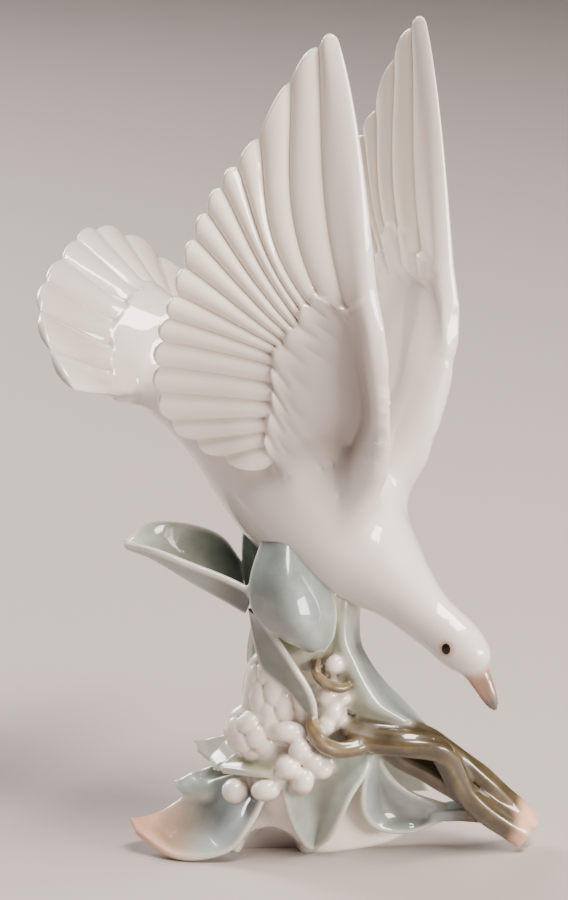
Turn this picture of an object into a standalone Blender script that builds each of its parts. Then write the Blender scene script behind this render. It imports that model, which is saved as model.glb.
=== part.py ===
"""Porcelain dove figurine: a white dove coming down over a base of leaves, buds and a branch.

The figure is one fired piece, so it is one closed solid. Every form is a surface worked out from
the sizes below; the forms are joined by Boolean union. Lengths in the tables are drawn units, and
UNIT turns them into metres.
"""
import math

import bmesh
import bpy
import numpy as np
from mathutils import Matrix, Vector

# Sizes in metres: the height, and each other size as its share of the height.
FIGURE_HEIGHT = 0.288
DRAWN_HEIGHT = 297.0
UNIT = FIGURE_HEIGHT / DRAWN_HEIGHT
FEATHER_EDGE_THICKNESS = 0.0066 * FIGURE_HEIGHT
FEATHER_RELIEF = 0.0038 * FIGURE_HEIGHT
COVERT_STEP = 0.0035 * FIGURE_HEIGHT
WING_THICKNESS = 0.0243 * FIGURE_HEIGHT
TAIL_RADIUS = 0.2344 * FIGURE_HEIGHT
TAIL_COVERT_RADIUS = 0.1493 * FIGURE_HEIGHT
LEAF_THICKNESS = 0.0104 * FIGURE_HEIGHT
BUD_RADIUS = 0.0139 * FIGURE_HEIGHT
BRANCH_RADIUS = 0.0167 * FIGURE_HEIGHT
FLOWER_RADIUS = 0.0469 * FIGURE_HEIGHT
ARCH_HEIGHT = 0.0295 * FIGURE_HEIGHT
ARCH_WIDTH = 0.066 * FIGURE_HEIGHT

# Pose of the bird: the way it heads, seen from above, and where its middle stands.
HEADING = math.radians(-30.0)
BIRD_MIDDLE = np.array([6.7, 5.0, 0.0])

# Finish.
PORCELAIN_COLOUR = (0.80, 0.79, 0.76, 1.0)
GLAZE_ROUGHNESS = 0.12
SHARP_ANGLE = math.radians(35.0)

# Counts.
WING_FEATHERS = 17
TAIL_FEATHERS = 11
STEPS_PER_FEATHER = 3
LEADING_FEATHERS = 12
BODY_ROWS = 23
BODY_SIDES = 22
BEAK_ROWS = 7
BEAK_SIDES = 9
BUD_SIDES = 7
STICK_SIDES = 7
CORE_ROWS = 8
CORE_SIDES = 20
MOUND_SIDES = 12
ARCH_SIDES = 16

# Bird directions in world space: forward, right side and up.
FORWARD = np.array([math.cos(HEADING), math.sin(HEADING), 0.0])
RIGHT = np.array([math.sin(HEADING), -math.cos(HEADING), 0.0])
UP = np.array([0.0, 0.0, 1.0])

# Body from rump to crown: forward, height, half width, half depth.
BODY_KEYS = [
    (-66.0, 186.0, 17.0, 1.5),
    (-60.0, 178.0, 24.0, 8.5),
    (-50.0, 168.0, 24.5, 14.5),
    (-39.0, 159.5, 24.5, 18.0),
    (-27.0, 151.5, 25.0, 20.8),
    (-14.0, 142.0, 26.5, 23.8),
    (-1.0, 131.0, 27.5, 26.0),
    (11.0, 121.0, 26.5, 25.2),
    (22.0, 112.5, 23.0, 22.0),
    (32.0, 105.0, 17.2, 17.0),
    (41.0, 98.0, 12.6, 12.4),
    (49.5, 91.0, 9.9, 9.9),
    (57.5, 85.6, 9.0, 9.2),
    (64.0, 80.8, 8.6, 9.0),
    (69.0, 76.4, 6.8, 7.4),
    (71.6, 73.0, 3.6, 4.2),
]

# Beak: forward, height, half width, half depth.
BEAK_KEYS = [
    (66.5, 80.0, 4.0, 4.2),
    (70.6, 73.6, 3.9, 4.3),
    (73.8, 68.8, 2.8, 3.1),
    (76.2, 64.4, 1.9, 2.2),
    (77.6, 61.0, 0.8, 1.1),
]

# Wing blade, right side: feather number, distance back from the shoulder line, height.
FEATHER_TIP_KEYS = [
    (0.0, 17.6, 295.6),
    (1.0, 24.2, 292.0),
    (2.0, 34.0, 280.5),
    (3.0, 44.6, 261.5),
    (5.0, 57.0, 244.4),
    (7.0, 65.4, 226.9),
    (9.0, 71.0, 207.6),
    (11.0, 76.2, 191.0),
    (13.0, 79.9, 170.7),
    (14.0, 79.2, 159.6),
    (15.0, 73.4, 151.4),
    (17.0, 51.5, 140.9),
]
COVERT_KEYS = [
    (0.0, 2.6, 211.0),
    (2.0, 12.0, 206.0),
    (4.0, 20.5, 208.5),
    (7.0, 29.6, 206.6),
    (9.0, 33.5, 199.0),
    (12.0, 40.4, 188.0),
    (14.0, 42.0, 178.0),
    (17.0, 46.0, 153.0),
]
ROOT_KEYS = [
    (0.0, -0.4, 197.0),
    (3.0, -1.4, 179.0),
    (6.0, -0.4, 164.0),
    (8.0, 2.8, 152.0),
    (9.5, 7.4, 140.0),
    (11.0, 12.4, 128.0),
    (12.5, 18.0, 117.0),
    (14.0, 27.0, 113.0),
    (15.5, 37.0, 117.0),
    (17.0, 47.0, 125.0),
]
# Rows of the blade: 0 at the feather tips, 1 at the covert edge, 2 at the root.
WING_ROWS = [0.0, 0.1, 0.5, 1.0, 1.12, 1.55, 2.0]

# Set of the wings: opening above and how much less at the foot, shoulder line, chord and dishing.
WING_OPENING = 25.0
WING_FOOT_CLOSING = 17.0
WING_FRONT = 47.0
WING_SHOULDER = 27.5
WING_FOOT_TUCK = 9.0
WING_CHORD = 82.0
WING_DISH = 20.0
TIP_ROUND = 2.4
COVERT_ROUND = 1.5
LEADING_BOW = 3.0
LEADING_ROUND = 8.0
LEADING_RIM = 0.22
ROOT_FLESH = 4.0
THINNEST = 0.45

# Tail: forward and height of the point its feathers spread from, and its dishing.
TAIL_CENTRE = (-38.5, 173.5)
TAIL_PITCH = math.radians(38.0)
TAIL_ROLL = math.radians(4.0)
TAIL_HALF_SPREAD = math.radians(80.0)
TAIL_TIP_DROP = 12.0
TAIL_ROOT_DROP = 24.0
TAIL_NOTCH = 0.028
TAIL_DOME = 9.0
TAIL_BELLY = 10.0
TAIL_LIP = 1.5
# Rows of the fan as shares of its radius; the coverts end between the second and the third.
TAIL_ROWS = [0.3, 0.585, 0.62, 0.82, 1.0]
COVERT_END = 0.6

# Base: height, middle x, middle y, half width, half depth, turn in degrees.
CORE_KEYS = [
    (0.0, 9.0, 4.0, 37.0, 19.0, 14.0),
    (9.0, 9.0, 3.0, 34.0, 18.5, 14.0),
    (20.0, 8.0, 1.0, 27.0, 18.0, 12.0),
    (34.0, 8.0, -2.0, 22.0, 17.0, 8.0),
    (52.0, 8.0, -4.0, 18.5, 15.0, 0.0),
    (72.0, 7.5, -5.0, 16.5, 14.5, 0.0),
    (92.0, 9.0, -4.0, 19.0, 16.5, -10.0),
    (108.0, 8.0, 0.0, 20.0, 15.0, -20.0),
]

# Leaves: midrib points from root to tip, half width, cupping, way the upper face looks, fullness.
LEAVES = {
    "upper_left": (
        [(-8.0, -8.0, 92.0), (-27.0, -7.0, 101.5), (-43.0, -6.0, 110.0), (-57.0, -6.0, 113.5)],
        12.0, 0.95, (0.0, -0.55, 0.9), 0.55),
    "belly": (
        [(14.0, -17.0, 74.0), (8.0, -24.0, 88.0), (1.0, -23.5, 103.0), (-8.0, -18.0, 116.0)],
        17.5, -0.25, (-0.1, -0.95, 0.2), 0.5),
    "right_drape": (
        [(21.0, -6.0, 102.0), (25.5, -14.0, 79.0), (31.0, -19.0, 62.0), (46.0, -18.0, 50.0)],
        10.0, 0.25, (0.45, -0.9, 0.1), 0.5),
    "left_narrow": (
        [(-10.0, -15.0, 88.0), (-4.5, -19.5, 78.0), (3.0, -21.5, 68.0), (9.0, -21.0, 56.0)],
        6.5, 0.35, (-0.2, -0.95, 0.2), 0.5),
    "front_left": (
        [(-6.0, -16.0, 24.0), (-24.0, -17.0, 12.0), (-41.0, -15.0, 6.5), (-55.0, -9.0, 12.0)],
        15.5, 0.32, (0.0, -0.5, 0.85), 0.42),
    "front_middle": (
        [(22.0, -14.0, 37.0), (17.0, -20.0, 25.0), (12.5, -20.5, 13.0), (9.8, -16.5, 0.5)],
        15.5, 0.3, (0.0, -0.95, 0.25), 0.5),
    "right_cup": (
        [(32.0, -17.0, 41.0), (35.5, -14.5, 26.0), (43.0, -9.0, 14.5), (59.0, -3.0, 14.5)],
        11.5, 0.4, (0.15, -0.85, 0.45), 0.5),
    "left_small": (
        [(2.0, -16.0, 36.0), (-8.0, -18.0, 37.0), (-18.0, -15.0, 37.5), (-25.0, -9.0, 38.0)],
        9.0, 0.35, (-0.1, -0.6, 0.8), 0.5),
    "back_left_low": (
        [(-8.0, 4.0, 22.0), (-20.0, 4.0, 23.0), (-30.0, 4.0, 24.0), (-41.0, 5.0, 23.0)],
        8.0, 0.5, (0.0, -0.3, 0.9), 0.5),
    "back_left_mid": (
        [(-4.0, 4.0, 34.0), (-14.0, 6.0, 37.0), (-24.0, 7.0, 39.0), (-33.0, 8.0, 37.5)],
        7.0, 0.4, (0.0, -0.4, 0.9), 0.5),
    "back_right": (
        [(14.0, 7.0, 58.0), (22.0, 14.0, 42.0), (30.0, 19.0, 26.0), (40.0, 22.0, 13.0)],
        13.0, 0.3, (0.3, 0.85, 0.35), 0.5),
    "back_middle": (
        [(4.0, 10.0, 98.0), (3.0, 14.5, 82.0), (-1.0, 17.0, 64.0), (-8.0, 18.0, 48.0)],
        13.0, 0.25, (-0.1, 0.95, 0.1), 0.5),
    "back_left": (
        [(-2.0, 14.0, 34.0), (-11.0, 21.0, 23.0), (-20.0, 25.0, 11.0), (-30.0, 27.0, 4.0)],
        12.0, 0.3, (-0.3, 0.6, 0.75), 0.5),
}

# Sticks: points along the middle with the half width there as a share of the branch's.
STICKS = {
    "front_stick": [
        (18.0, -18.0, 48.0, 0.9), (30.0, -21.0, 47.5, 1.2), (42.0, -22.5, 46.0, 1.1),
        (51.0, -21.0, 42.5, 1.0), (58.0, -18.5, 31.5, 0.9), (67.0, -15.5, 21.5, 0.9),
        (76.0, -12.5, 13.0, 1.0), (87.0, -9.0, 5.6, 1.15)],
    "rear_stick": [
        (38.0, -15.0, 48.0, 0.8), (47.0, -13.5, 46.0, 0.85), (60.0, -11.0, 36.5, 0.8),
        (69.0, -9.0, 28.5, 0.8), (78.0, -7.5, 19.0, 0.95), (89.0, -4.0, 6.6, 1.3)],
    "low_stick": [
        (80.0, -10.0, 11.0, 0.8), (70.0, -6.5, 15.0, 0.62), (60.5, -2.0, 14.5, 0.6),
        (50.0, 1.5, 11.5, 0.6), (38.0, 3.0, 7.0, 0.8)],
    "loop": [
        (5.0, -17.0, 60.0, 0.55), (6.0, -22.0, 50.5, 0.6), (11.0, -24.0, 42.5, 0.6),
        (19.0, -24.5, 39.5, 0.6), (28.0, -23.5, 41.0, 0.6), (36.0, -20.0, 44.5, 0.7)],
}

# Buds: middle, long half length as a share of the bud radius, tilt of the long axis in degrees.
BUDS = [
    (-12.5, -19.0, 26.5, 1.25, 40.0),
    (-4.6, -27.0, 28.5, 1.25, 10.0),
    (-8.5, -14.0, 49.0, 1.1, 10.0),
    (1.4, -23.5, 50.0, 1.45, 5.0),
    (3.0, -25.5, 42.0, 1.15, 60.0),
    (1.2, -26.5, 34.5, 1.1, 0.0),
    (6.6, -26.0, 30.0, 1.3, 80.0),
    (12.5, -26.0, 35.0, 1.0, 0.0),
    (10.0, -26.0, 40.0, 1.0, 30.0),
    (17.0, -17.5, 73.0, 1.15, 60.0),
    (13.0, -18.5, 65.5, 1.05, 60.0),
    (17.0, -19.5, 60.0, 1.1, 20.0),
    (14.5, -21.5, 54.0, 1.1, 70.0),
]

# Mound that the buds sit on: middle, half height, radius.
MOUND_MIDDLE = np.array([-2.0, -11.0, 33.0])
MOUND_HALF_HEIGHT = 21.0
MOUND_RADIUS = 11.5

# Flower: middle, way it faces, petals.
FLOWER_MIDDLE = np.array([-3.0, -12.5, 66.0])
FLOWER_FACE = np.array([-0.55, -0.8, 0.25])
FLOWER_PETALS = 9
# Rings of the flower from its middle to its back: share of the radius, forward, petal ridge.
FLOWER_RINGS = [
    (0.05, 4.0, 0.0),
    (0.5, 6.5, 0.6),
    (1.0, 3.0, 1.0),
    (0.85, -6.0, 0.0),
]
PETAL_NOTCH = 0.12
PETAL_SWELL = 1.6

# Low arch in the foot: middle x, how far back it reaches, and its depth.
ARCH_MIDDLE = (-5.0, -9.0)
ARCH_DEPTH = 30.0


def spline(keys, at):
    """Smooth curve through key rows whose first number is the place along the curve."""
    keys = np.asarray(keys, dtype=float)
    places = keys[:, 0]
    values = keys[:, 1:]
    slopes = np.gradient(values, places, axis=0)
    at = np.clip(np.asarray(at, dtype=float), places[0], places[-1])
    first = np.clip(np.searchsorted(places, at, side="right") - 1, 0, len(places) - 2)
    gap = (places[first + 1] - places[first])[..., None]
    t = ((at - places[first]) / gap[..., 0])[..., None]
    rest = 1.0 - t
    return (
        values[first] * (1.0 + 2.0 * t) * rest ** 2
        + values[first + 1] * (3.0 - 2.0 * t) * t ** 2
        + slopes[first] * gap * t * rest ** 2
        - slopes[first + 1] * gap * t ** 2 * rest
    )


def numbered(rows):
    """Put the place along a curve, 0 to 1 by row, in front of plain point rows."""
    rows = np.asarray(rows, dtype=float)
    return np.column_stack([np.linspace(0.0, 1.0, len(rows)), rows])


def unit(vectors):
    """Vectors of length one."""
    return vectors / np.maximum(np.linalg.norm(vectors, axis=-1, keepdims=True), 1e-9)


def from_bird(forward, right, height):
    """World points of a place given forward, to the right and up from the bird's middle."""
    return (
        BIRD_MIDDLE
        + np.asarray(forward)[..., None] * FORWARD
        + np.asarray(right)[..., None] * RIGHT
        + np.asarray(height)[..., None] * UP
    )


def surface_normals(grid):
    """Unit normals of a grid of points."""
    along = np.gradient(grid, axis=0)
    across = np.gradient(grid, axis=1)
    return unit(np.cross(along, across))


def grid_faces(rows, columns, start, flip, closed):
    """Quads of a grid of points, optionally closed round the columns."""
    row = np.arange(rows - 1)[:, None] * columns
    column = np.arange(columns if closed else columns - 1)[None, :]
    after = (column + 1) % columns
    corners = [row + column, row + after, row + columns + after, row + columns + column]
    quads = np.stack(corners, axis=-1).reshape(-1, 4) + start
    return quads[:, ::-1] if flip else quads


def new_object(name, points, faces):
    """Mesh object from drawn points, turned into metres, with its faces outward."""
    mesh = bpy.data.meshes.new(name)
    mesh.from_pydata((points * UNIT).tolist(), [], [list(map(int, face)) for face in faces])
    work = bmesh.new()
    work.from_mesh(mesh)
    if work.calc_volume(signed=True) < 0.0:
        bmesh.ops.reverse_faces(work, faces=work.faces)
    work.to_mesh(mesh)
    work.free()
    shape = bpy.data.objects.new(name, mesh)
    bpy.context.collection.objects.link(shape)
    return shape


def blade(name, upper, lower):
    """Closed sheet between two grids of the same size, joined round their rim."""
    rows, columns = upper.shape[:2]
    count = rows * columns
    points = np.concatenate([upper.reshape(-1, 3), lower.reshape(-1, 3)])
    faces = [tuple(face) for face in grid_faces(rows, columns, 0, False, False)]
    faces += [tuple(face) for face in grid_faces(rows, columns, count, True, False)]
    rim = [(0, column) for column in range(columns)]
    rim += [(row, columns - 1) for row in range(1, rows)]
    rim += [(rows - 1, column) for column in range(columns - 2, -1, -1)]
    rim += [(row, 0) for row in range(rows - 2, 0, -1)]
    rim = [row * columns + column for row, column in rim]
    for here, there in zip(rim, rim[1:] + rim[:1]):
        faces.append((there, here, here + count, there + count))
    return new_object(name, points, faces)


def ringed(name, rings):
    """Closed skin over a stack of rings, capped at both ends."""
    rows, sides = rings.shape[:2]
    faces = [tuple(face) for face in grid_faces(rows, sides, 0, False, True)]
    faces.append(tuple(range(sides))[::-1])
    faces.append(tuple(range((rows - 1) * sides, rows * sides)))
    return new_object(name, rings.reshape(-1, 3), faces)


def tube(name, middles, sideways, upward, half_width, half_depth, sides):
    """Closed loft of ellipses round a line of middles."""
    angle = np.linspace(0.0, 2.0 * math.pi, sides, endpoint=False)
    rings = (
        middles[:, None]
        + sideways[:, None] * (half_width[:, None] * np.cos(angle))[..., None]
        + upward[:, None] * (half_depth[:, None] * np.sin(angle))[..., None]
    )
    return ringed(name, rings)


def make_profile_body(name, keys, rows, sides):
    """Body of ellipses square to a line in the bird's middle plane."""
    table = spline(numbered(keys), np.linspace(0.0, 1.0, rows))
    middles = from_bird(table[:, 0], np.zeros(rows), table[:, 1])
    heading = unit(np.gradient(middles, axis=0))
    sideways = np.tile(RIGHT, (rows, 1))
    upward = np.cross(heading, sideways)
    return tube(name, middles, sideways, upward, table[:, 2], table[:, 3], sides)


def wing_surface(back, height, side):
    """Middle surface of a wing: back from the shoulder line and up, opening outward above."""
    closing = WING_FOOT_CLOSING * np.clip((205.0 - height) / 65.0, 0.0, 1.0) ** 1.3
    opening = np.radians(WING_OPENING - closing)
    shoulder = WING_SHOULDER - WING_FOOT_TUCK * np.maximum((200.0 - height) / 48.0, 0.0) ** 1.6
    share = np.clip(back / WING_CHORD, 0.0, 1.0)
    outward = shoulder + back * np.sin(opening) - WING_DISH * share * (1.0 - share)
    return from_bird(WING_FRONT - back * np.cos(opening), side * outward, height)


def edge_distance(points, line):
    """Shortest distance from each point to a line of points."""
    start = line[:-1]
    step = line[1:] - start
    offset = points[..., None, :] - start
    share = np.clip((offset * step).sum(-1) / np.maximum((step * step).sum(-1), 1e-9), 0.0, 1.0)
    return np.linalg.norm(offset - share[..., None] * step, axis=-1).min(-1)


def make_wing(name, side):
    """Wing blade with one rounded flute per feather and a step at the coverts."""
    number = np.linspace(0.0, WING_FEATHERS, WING_FEATHERS * STEPS_PER_FEATHER + 1)
    bulge = np.sin(math.pi * (number % 1.0)) ** 0.7
    tips = spline(FEATHER_TIP_KEYS, number)
    coverts = spline(COVERT_KEYS, number)
    roots = spline(ROOT_KEYS, number)
    tips = tips + unit(tips - coverts) * (TIP_ROUND * bulge)[:, None]
    coverts = coverts + unit(tips - coverts) * (COVERT_ROUND * bulge)[:, None]
    rows = np.array(WING_ROWS)[:, None]
    vane = np.clip(rows, 0.0, 1.0)
    cover = np.clip(rows - 1.0, 0.0, 1.0)
    flat = tips * (1.0 - vane[..., None]) + coverts * vane[..., None]
    flat = flat * (1.0 - cover[..., None]) + roots * cover[..., None]
    first = np.clip(1.0 - number / 2.0, 0.0, 1.0)
    flat[..., 0] -= LEADING_BOW * first * np.sin(math.pi * vane ** 0.5)
    middle = wing_surface(flat[..., 0], flat[..., 1], side)

    # Thickness: thin at the feather edges, full at the root, rounded along the leading edge.
    leading = np.vstack([flat[:, 0], roots[: LEADING_FEATHERS * STEPS_PER_FEATHER]])
    from_leading = edge_distance(flat, leading)
    rounding = 1.0 - np.clip(from_leading / LEADING_ROUND, 0.0, 1.0)
    rounding = LEADING_RIM + (1.0 - LEADING_RIM) * np.sqrt(1.0 - rounding ** 2)
    edge = 0.5 * FEATHER_EDGE_THICKNESS / UNIT
    full = 0.5 * WING_THICKNESS / UNIT
    step = COVERT_STEP / UNIT
    half = edge + (full - edge - step) * vane ** 1.2 + step * np.clip(cover / 0.12, 0.0, 1.0)
    flesh = np.clip((168.0 - flat[..., 1]) / 30.0, 0.0, 1.0) ** 2 * cover
    half = (half + ROOT_FLESH * flesh) * rounding

    # Flutes: one swelling per feather, dying away under the coverts and at the leading edge.
    flute = FEATHER_RELIEF / UNIT * (bulge - 0.5) * (1.0 - 0.55 * vane)
    flute = flute * (1.0 - np.clip(cover / 0.5, 0.0, 1.0)) * np.clip(from_leading / 4.0, 0.0, 1.0)
    half = np.maximum(half + flute, THINNEST)[..., None]
    outward = surface_normals(middle)
    return blade(name, middle + outward * half, middle - outward * half)


def make_tail():
    """Fan of feathers with a raised, rounded patch of coverts over its root on both faces."""
    radius = TAIL_RADIUS / UNIT
    number = np.linspace(0.0, TAIL_FEATHERS, TAIL_FEATHERS * STEPS_PER_FEATHER + 1)
    bulge = np.sin(math.pi * (number % 1.0)) ** 0.7
    angle = (number / TAIL_FEATHERS * 2.0 - 1.0) * TAIL_HALF_SPREAD
    rows = np.array(TAIL_ROWS)[:, None]
    outer = np.clip((rows - 0.5) * 2.0, 0.0, 1.0)
    reach = rows * radius * (1.0 + TAIL_NOTCH * (bulge - 1.0) * outer)
    along = reach * np.cos(angle)
    aside = reach * np.sin(angle)

    # The fan tilts back, rolls a little and hangs down at its sides.
    backward = np.array([-math.cos(TAIL_PITCH), math.sin(TAIL_PITCH)])
    above = np.array([math.sin(TAIL_PITCH), math.cos(TAIL_PITCH)])
    drop = (TAIL_ROOT_DROP * (1.0 - rows) + TAIL_TIP_DROP * rows) * np.sin(angle) ** 2
    rise = aside * math.sin(TAIL_ROLL) - drop * math.cos(TAIL_ROLL)
    aside = aside * math.cos(TAIL_ROLL) + drop * math.sin(TAIL_ROLL)
    forward = TAIL_CENTRE[0] + along * backward[0] + rise * above[0]
    height = TAIL_CENTRE[1] + along * backward[1] + rise * above[1]
    middle = from_bird(forward, aside, height)

    # Covert dome above and the root's belly below, both fading to the fan's sides.
    inner = np.clip(1.0 - reach / (TAIL_COVERT_RADIUS / UNIT), 0.0, 1.0)
    inside = (rows < COVERT_END) * np.ones_like(reach)
    side_fade = np.clip((TAIL_HALF_SPREAD - np.abs(angle)) / 0.35, 0.0, 1.0)
    dome = COVERT_STEP / UNIT * (0.4 + 0.6 * side_fade)
    dome = inside * (dome + TAIL_DOME * inner ** 1.1 * (0.35 + 0.65 * side_fade))
    belly = inside * (TAIL_LIP + TAIL_BELLY * inner) * (0.5 + 0.5 * side_fade)
    half = 0.5 * FEATHER_EDGE_THICKNESS / UNIT + 0.8 * (1.0 - rows)
    flute = FEATHER_RELIEF / UNIT * 0.8 * (bulge - 0.5) * (1.0 - inside)
    normal = surface_normals(middle)
    if (normal[2, len(number) // 2] @ UP) < 0.0:
        normal = -normal
    over = middle + normal * (half + dome + flute)[..., None]
    under = middle - normal * (half + belly + flute)[..., None]
    return blade("tail", over, under)


def make_leaf(name, midrib, half_width, cupping, face, fullness):
    """Leaf as a thick sheet: a cupped strip along its midrib, pointed at the tip."""
    along = np.linspace(0.0, 1.0, 6)
    across = np.linspace(-1.0, 1.0, 5)
    middle = spline(numbered(midrib), along)
    heading = unit(np.gradient(middle, axis=0))
    sideways = unit(np.cross(heading, np.asarray(face, dtype=float)))
    facing = np.cross(sideways, heading)
    outline = np.sin(math.pi * (0.2 + 0.8 * along) ** 1.25) ** fullness
    width = half_width * np.maximum(outline, 0.05)
    lift = cupping * width[:, None] * (across ** 2 - 0.12)
    sheet = (
        middle[:, None]
        + sideways[:, None] * (width[:, None] * across)[..., None]
        + facing[:, None] * lift[..., None]
    )
    half = 0.5 * LEAF_THICKNESS / UNIT * (1.0 - 0.45 * across ** 4) * np.ones((len(along), 1))
    normal = surface_normals(sheet)
    return blade(name, sheet + normal * half[..., None], sheet - normal * half[..., None])


def make_stick(name, rows):
    """Round stick along a bent line."""
    table = spline(numbered(rows), np.linspace(0.0, 1.0, int(1.5 * len(rows)) + 1))
    middle = table[:, :3]
    heading = unit(np.gradient(middle, axis=0))
    sideways = unit(np.cross(heading, UP))
    upward = np.cross(sideways, heading)
    half = table[:, 3] * BRANCH_RADIUS / UNIT
    return tube(name, middle, sideways, upward, half, half, STICK_SIDES)


def make_oval(name, middle, long_axis, half_length, radius, sides):
    """Closed oval body round a long axis that lies in the plane of x and z."""
    cap = np.linspace(0.0, math.pi, 6)[1:-1]
    middles = middle - long_axis * (np.cos(cap) * half_length)[:, None]
    ring = np.sin(cap) * radius
    steady = np.tile(np.array([0.0, 1.0, 0.0]), (len(cap), 1))
    upward = np.cross(np.tile(long_axis, (len(cap), 1)), steady)
    return tube(name, middles, steady, upward, ring, ring, sides)


def make_bud(name, row):
    """Oval bud, tilted in the plane of x and z."""
    turn = math.radians(row[4])
    long_axis = np.array([math.cos(turn), 0.0, math.sin(turn)])
    radius = BUD_RADIUS / UNIT
    return make_oval(name, np.array(row[:3]), long_axis, radius * row[3], radius, BUD_SIDES)


def make_flower():
    """Open ruffled flower: a shallow dish with a rounded ridge for each petal."""
    face = unit(FLOWER_FACE)
    sideways = unit(np.cross(face, UP))
    upward = np.cross(sideways, face)
    angle = np.linspace(0.0, 2.0 * math.pi, FLOWER_PETALS * STEPS_PER_FEATHER, endpoint=False)
    bulge = np.abs(np.sin(0.5 * FLOWER_PETALS * angle)) ** 0.7
    radius = FLOWER_RADIUS / UNIT
    shares, forward, ridges = (np.array(column)[:, None] for column in zip(*FLOWER_RINGS))
    lift = forward + ridges * PETAL_SWELL * bulge
    reach = radius * shares * (1.0 + PETAL_NOTCH * ridges * (bulge - 1.0))
    points = (
        FLOWER_MIDDLE
        + face * lift[..., None]
        + sideways * (reach * np.cos(angle))[..., None]
        + upward * (reach * np.sin(angle))[..., None]
    )
    return ringed("flower", points)


def make_core():
    """Stem and foot that carry the leaves: turned ellipses stacked from the table up."""
    height = np.linspace(CORE_KEYS[0][0], CORE_KEYS[-1][0], CORE_ROWS)
    table = spline(CORE_KEYS, height)
    turn = np.radians(table[:, 4])
    middles = np.column_stack([table[:, :2], height])
    sideways = np.column_stack([np.cos(turn), np.sin(turn), np.zeros_like(turn)])
    across = np.column_stack([-np.sin(turn), np.cos(turn), np.zeros_like(turn)])
    return tube("core", middles, sideways, across, table[:, 2], table[:, 3], CORE_SIDES)


def make_arch():
    """Round bar that cuts the low arch under the front of the foot."""
    middles = np.array([
        (ARCH_MIDDLE[0], ARCH_MIDDLE[1] - ARCH_DEPTH, 0.0),
        (ARCH_MIDDLE[0], ARCH_MIDDLE[1], 0.0),
    ])
    rows = len(middles)
    sideways = np.tile(np.array([1.0, 0.0, 0.0]), (rows, 1))
    upward = np.tile(UP, (rows, 1))
    half_width = np.full(rows, 0.5 * ARCH_WIDTH / UNIT)
    half_height = np.full(rows, ARCH_HEIGHT / UNIT)
    return tube("arch", middles, sideways, upward, half_width, half_height, ARCH_SIDES)


def combine(body, others, operation):
    """Join overlapping shapes to a body, or cut them from it, one after another.

    The exact solver drops faces where the feathered blades meet the body, so the manifold solver
    does the work.
    """
    for other in others:
        join = body.modifiers.new("join", "BOOLEAN")
        join.operation = operation
        join.solver = "MANIFOLD"
        join.object = other
        bpy.context.view_layer.update()
        joined = body.evaluated_get(bpy.context.evaluated_depsgraph_get())
        result = bpy.data.meshes.new_from_object(joined)
        body.modifiers.clear()
        body.data = result
        bpy.data.objects.remove(other)


for old in list(bpy.data.objects):
    bpy.data.objects.remove(old)

figure = make_core()
shapes = [make_profile_body("body", BODY_KEYS, BODY_ROWS, BODY_SIDES)]
shapes.append(make_profile_body("beak", BEAK_KEYS, BEAK_ROWS, BEAK_SIDES))
shapes.append(make_tail())
shapes += [make_leaf(name, *leaf) for name, leaf in LEAVES.items()]
shapes += [make_stick(name, rows) for name, rows in STICKS.items()]
shapes += [make_bud("bud_%d" % number, row) for number, row in enumerate(BUDS)]
shapes.append(make_oval("mound", MOUND_MIDDLE, UP, MOUND_HALF_HEIGHT, MOUND_RADIUS, MOUND_SIDES))
shapes.append(make_flower())
shapes += [make_wing("wing_right", 1.0), make_wing("wing_left", -1.0)]
combine(figure, [make_arch()], "DIFFERENCE")
combine(figure, shapes, "UNION")
figure.name = "dove_figure"
figure.data.name = "dove_figure"

# White porcelain under a clear gloss glaze.
porcelain = bpy.data.materials.new("glazed_porcelain")
porcelain.use_nodes = True
finish = porcelain.node_tree.nodes["Principled BSDF"].inputs
finish["Base Color"].default_value = PORCELAIN_COLOUR
finish["Roughness"].default_value = GLAZE_ROUGHNESS
finish["Metallic"].default_value = 0.0
figure.data.materials.clear()
figure.data.materials.append(porcelain)
figure.data.shade_smooth()
figure.data.set_sharp_from_angle(angle=SHARP_ANGLE)

# Stand the figure with the middle of its outline over the origin and its foot at zero.
corners = np.array([vertex.co[:] for vertex in figure.data.vertices])
low = corners.min(axis=0)
high = corners.max(axis=0)
shift = Vector((-0.5 * (low[0] + high[0]), -0.5 * (low[1] + high[1]), -low[2]))
figure.data.transform(Matrix.Translation(shift))
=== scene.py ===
# %% [markdown]
# # A glazed porcelain dove on a base of leaves
#
# The real figure is slip-cast porcelain: bird, leaves, buds and branch are joined wet, painted
# with soft colours under the glaze and fired as one piece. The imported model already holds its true
# size and pose. This script dresses it with a finer skin, where every feather, leaf and bud is a
# surface worked out with numpy, and with the painted and glazed finish.

import math

import bmesh
import bpy
import numpy as np
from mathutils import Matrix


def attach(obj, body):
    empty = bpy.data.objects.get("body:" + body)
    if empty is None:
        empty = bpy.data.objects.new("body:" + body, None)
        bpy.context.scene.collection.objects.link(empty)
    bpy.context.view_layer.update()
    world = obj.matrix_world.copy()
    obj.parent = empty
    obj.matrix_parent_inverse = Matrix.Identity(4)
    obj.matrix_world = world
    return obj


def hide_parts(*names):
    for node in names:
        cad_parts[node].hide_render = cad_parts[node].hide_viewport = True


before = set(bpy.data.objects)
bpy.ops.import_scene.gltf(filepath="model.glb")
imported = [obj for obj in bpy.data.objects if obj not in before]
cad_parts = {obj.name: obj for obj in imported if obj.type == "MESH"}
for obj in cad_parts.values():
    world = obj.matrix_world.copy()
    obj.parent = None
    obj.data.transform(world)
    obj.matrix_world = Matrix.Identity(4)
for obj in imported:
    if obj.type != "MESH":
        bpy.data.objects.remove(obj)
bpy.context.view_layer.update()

# %% [markdown]
# Lengths in the tables are drawn units, close to a millimetre: the figure is 297 of them tall.
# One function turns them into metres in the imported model's frame, so that every piece lands where
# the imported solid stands.

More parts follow.
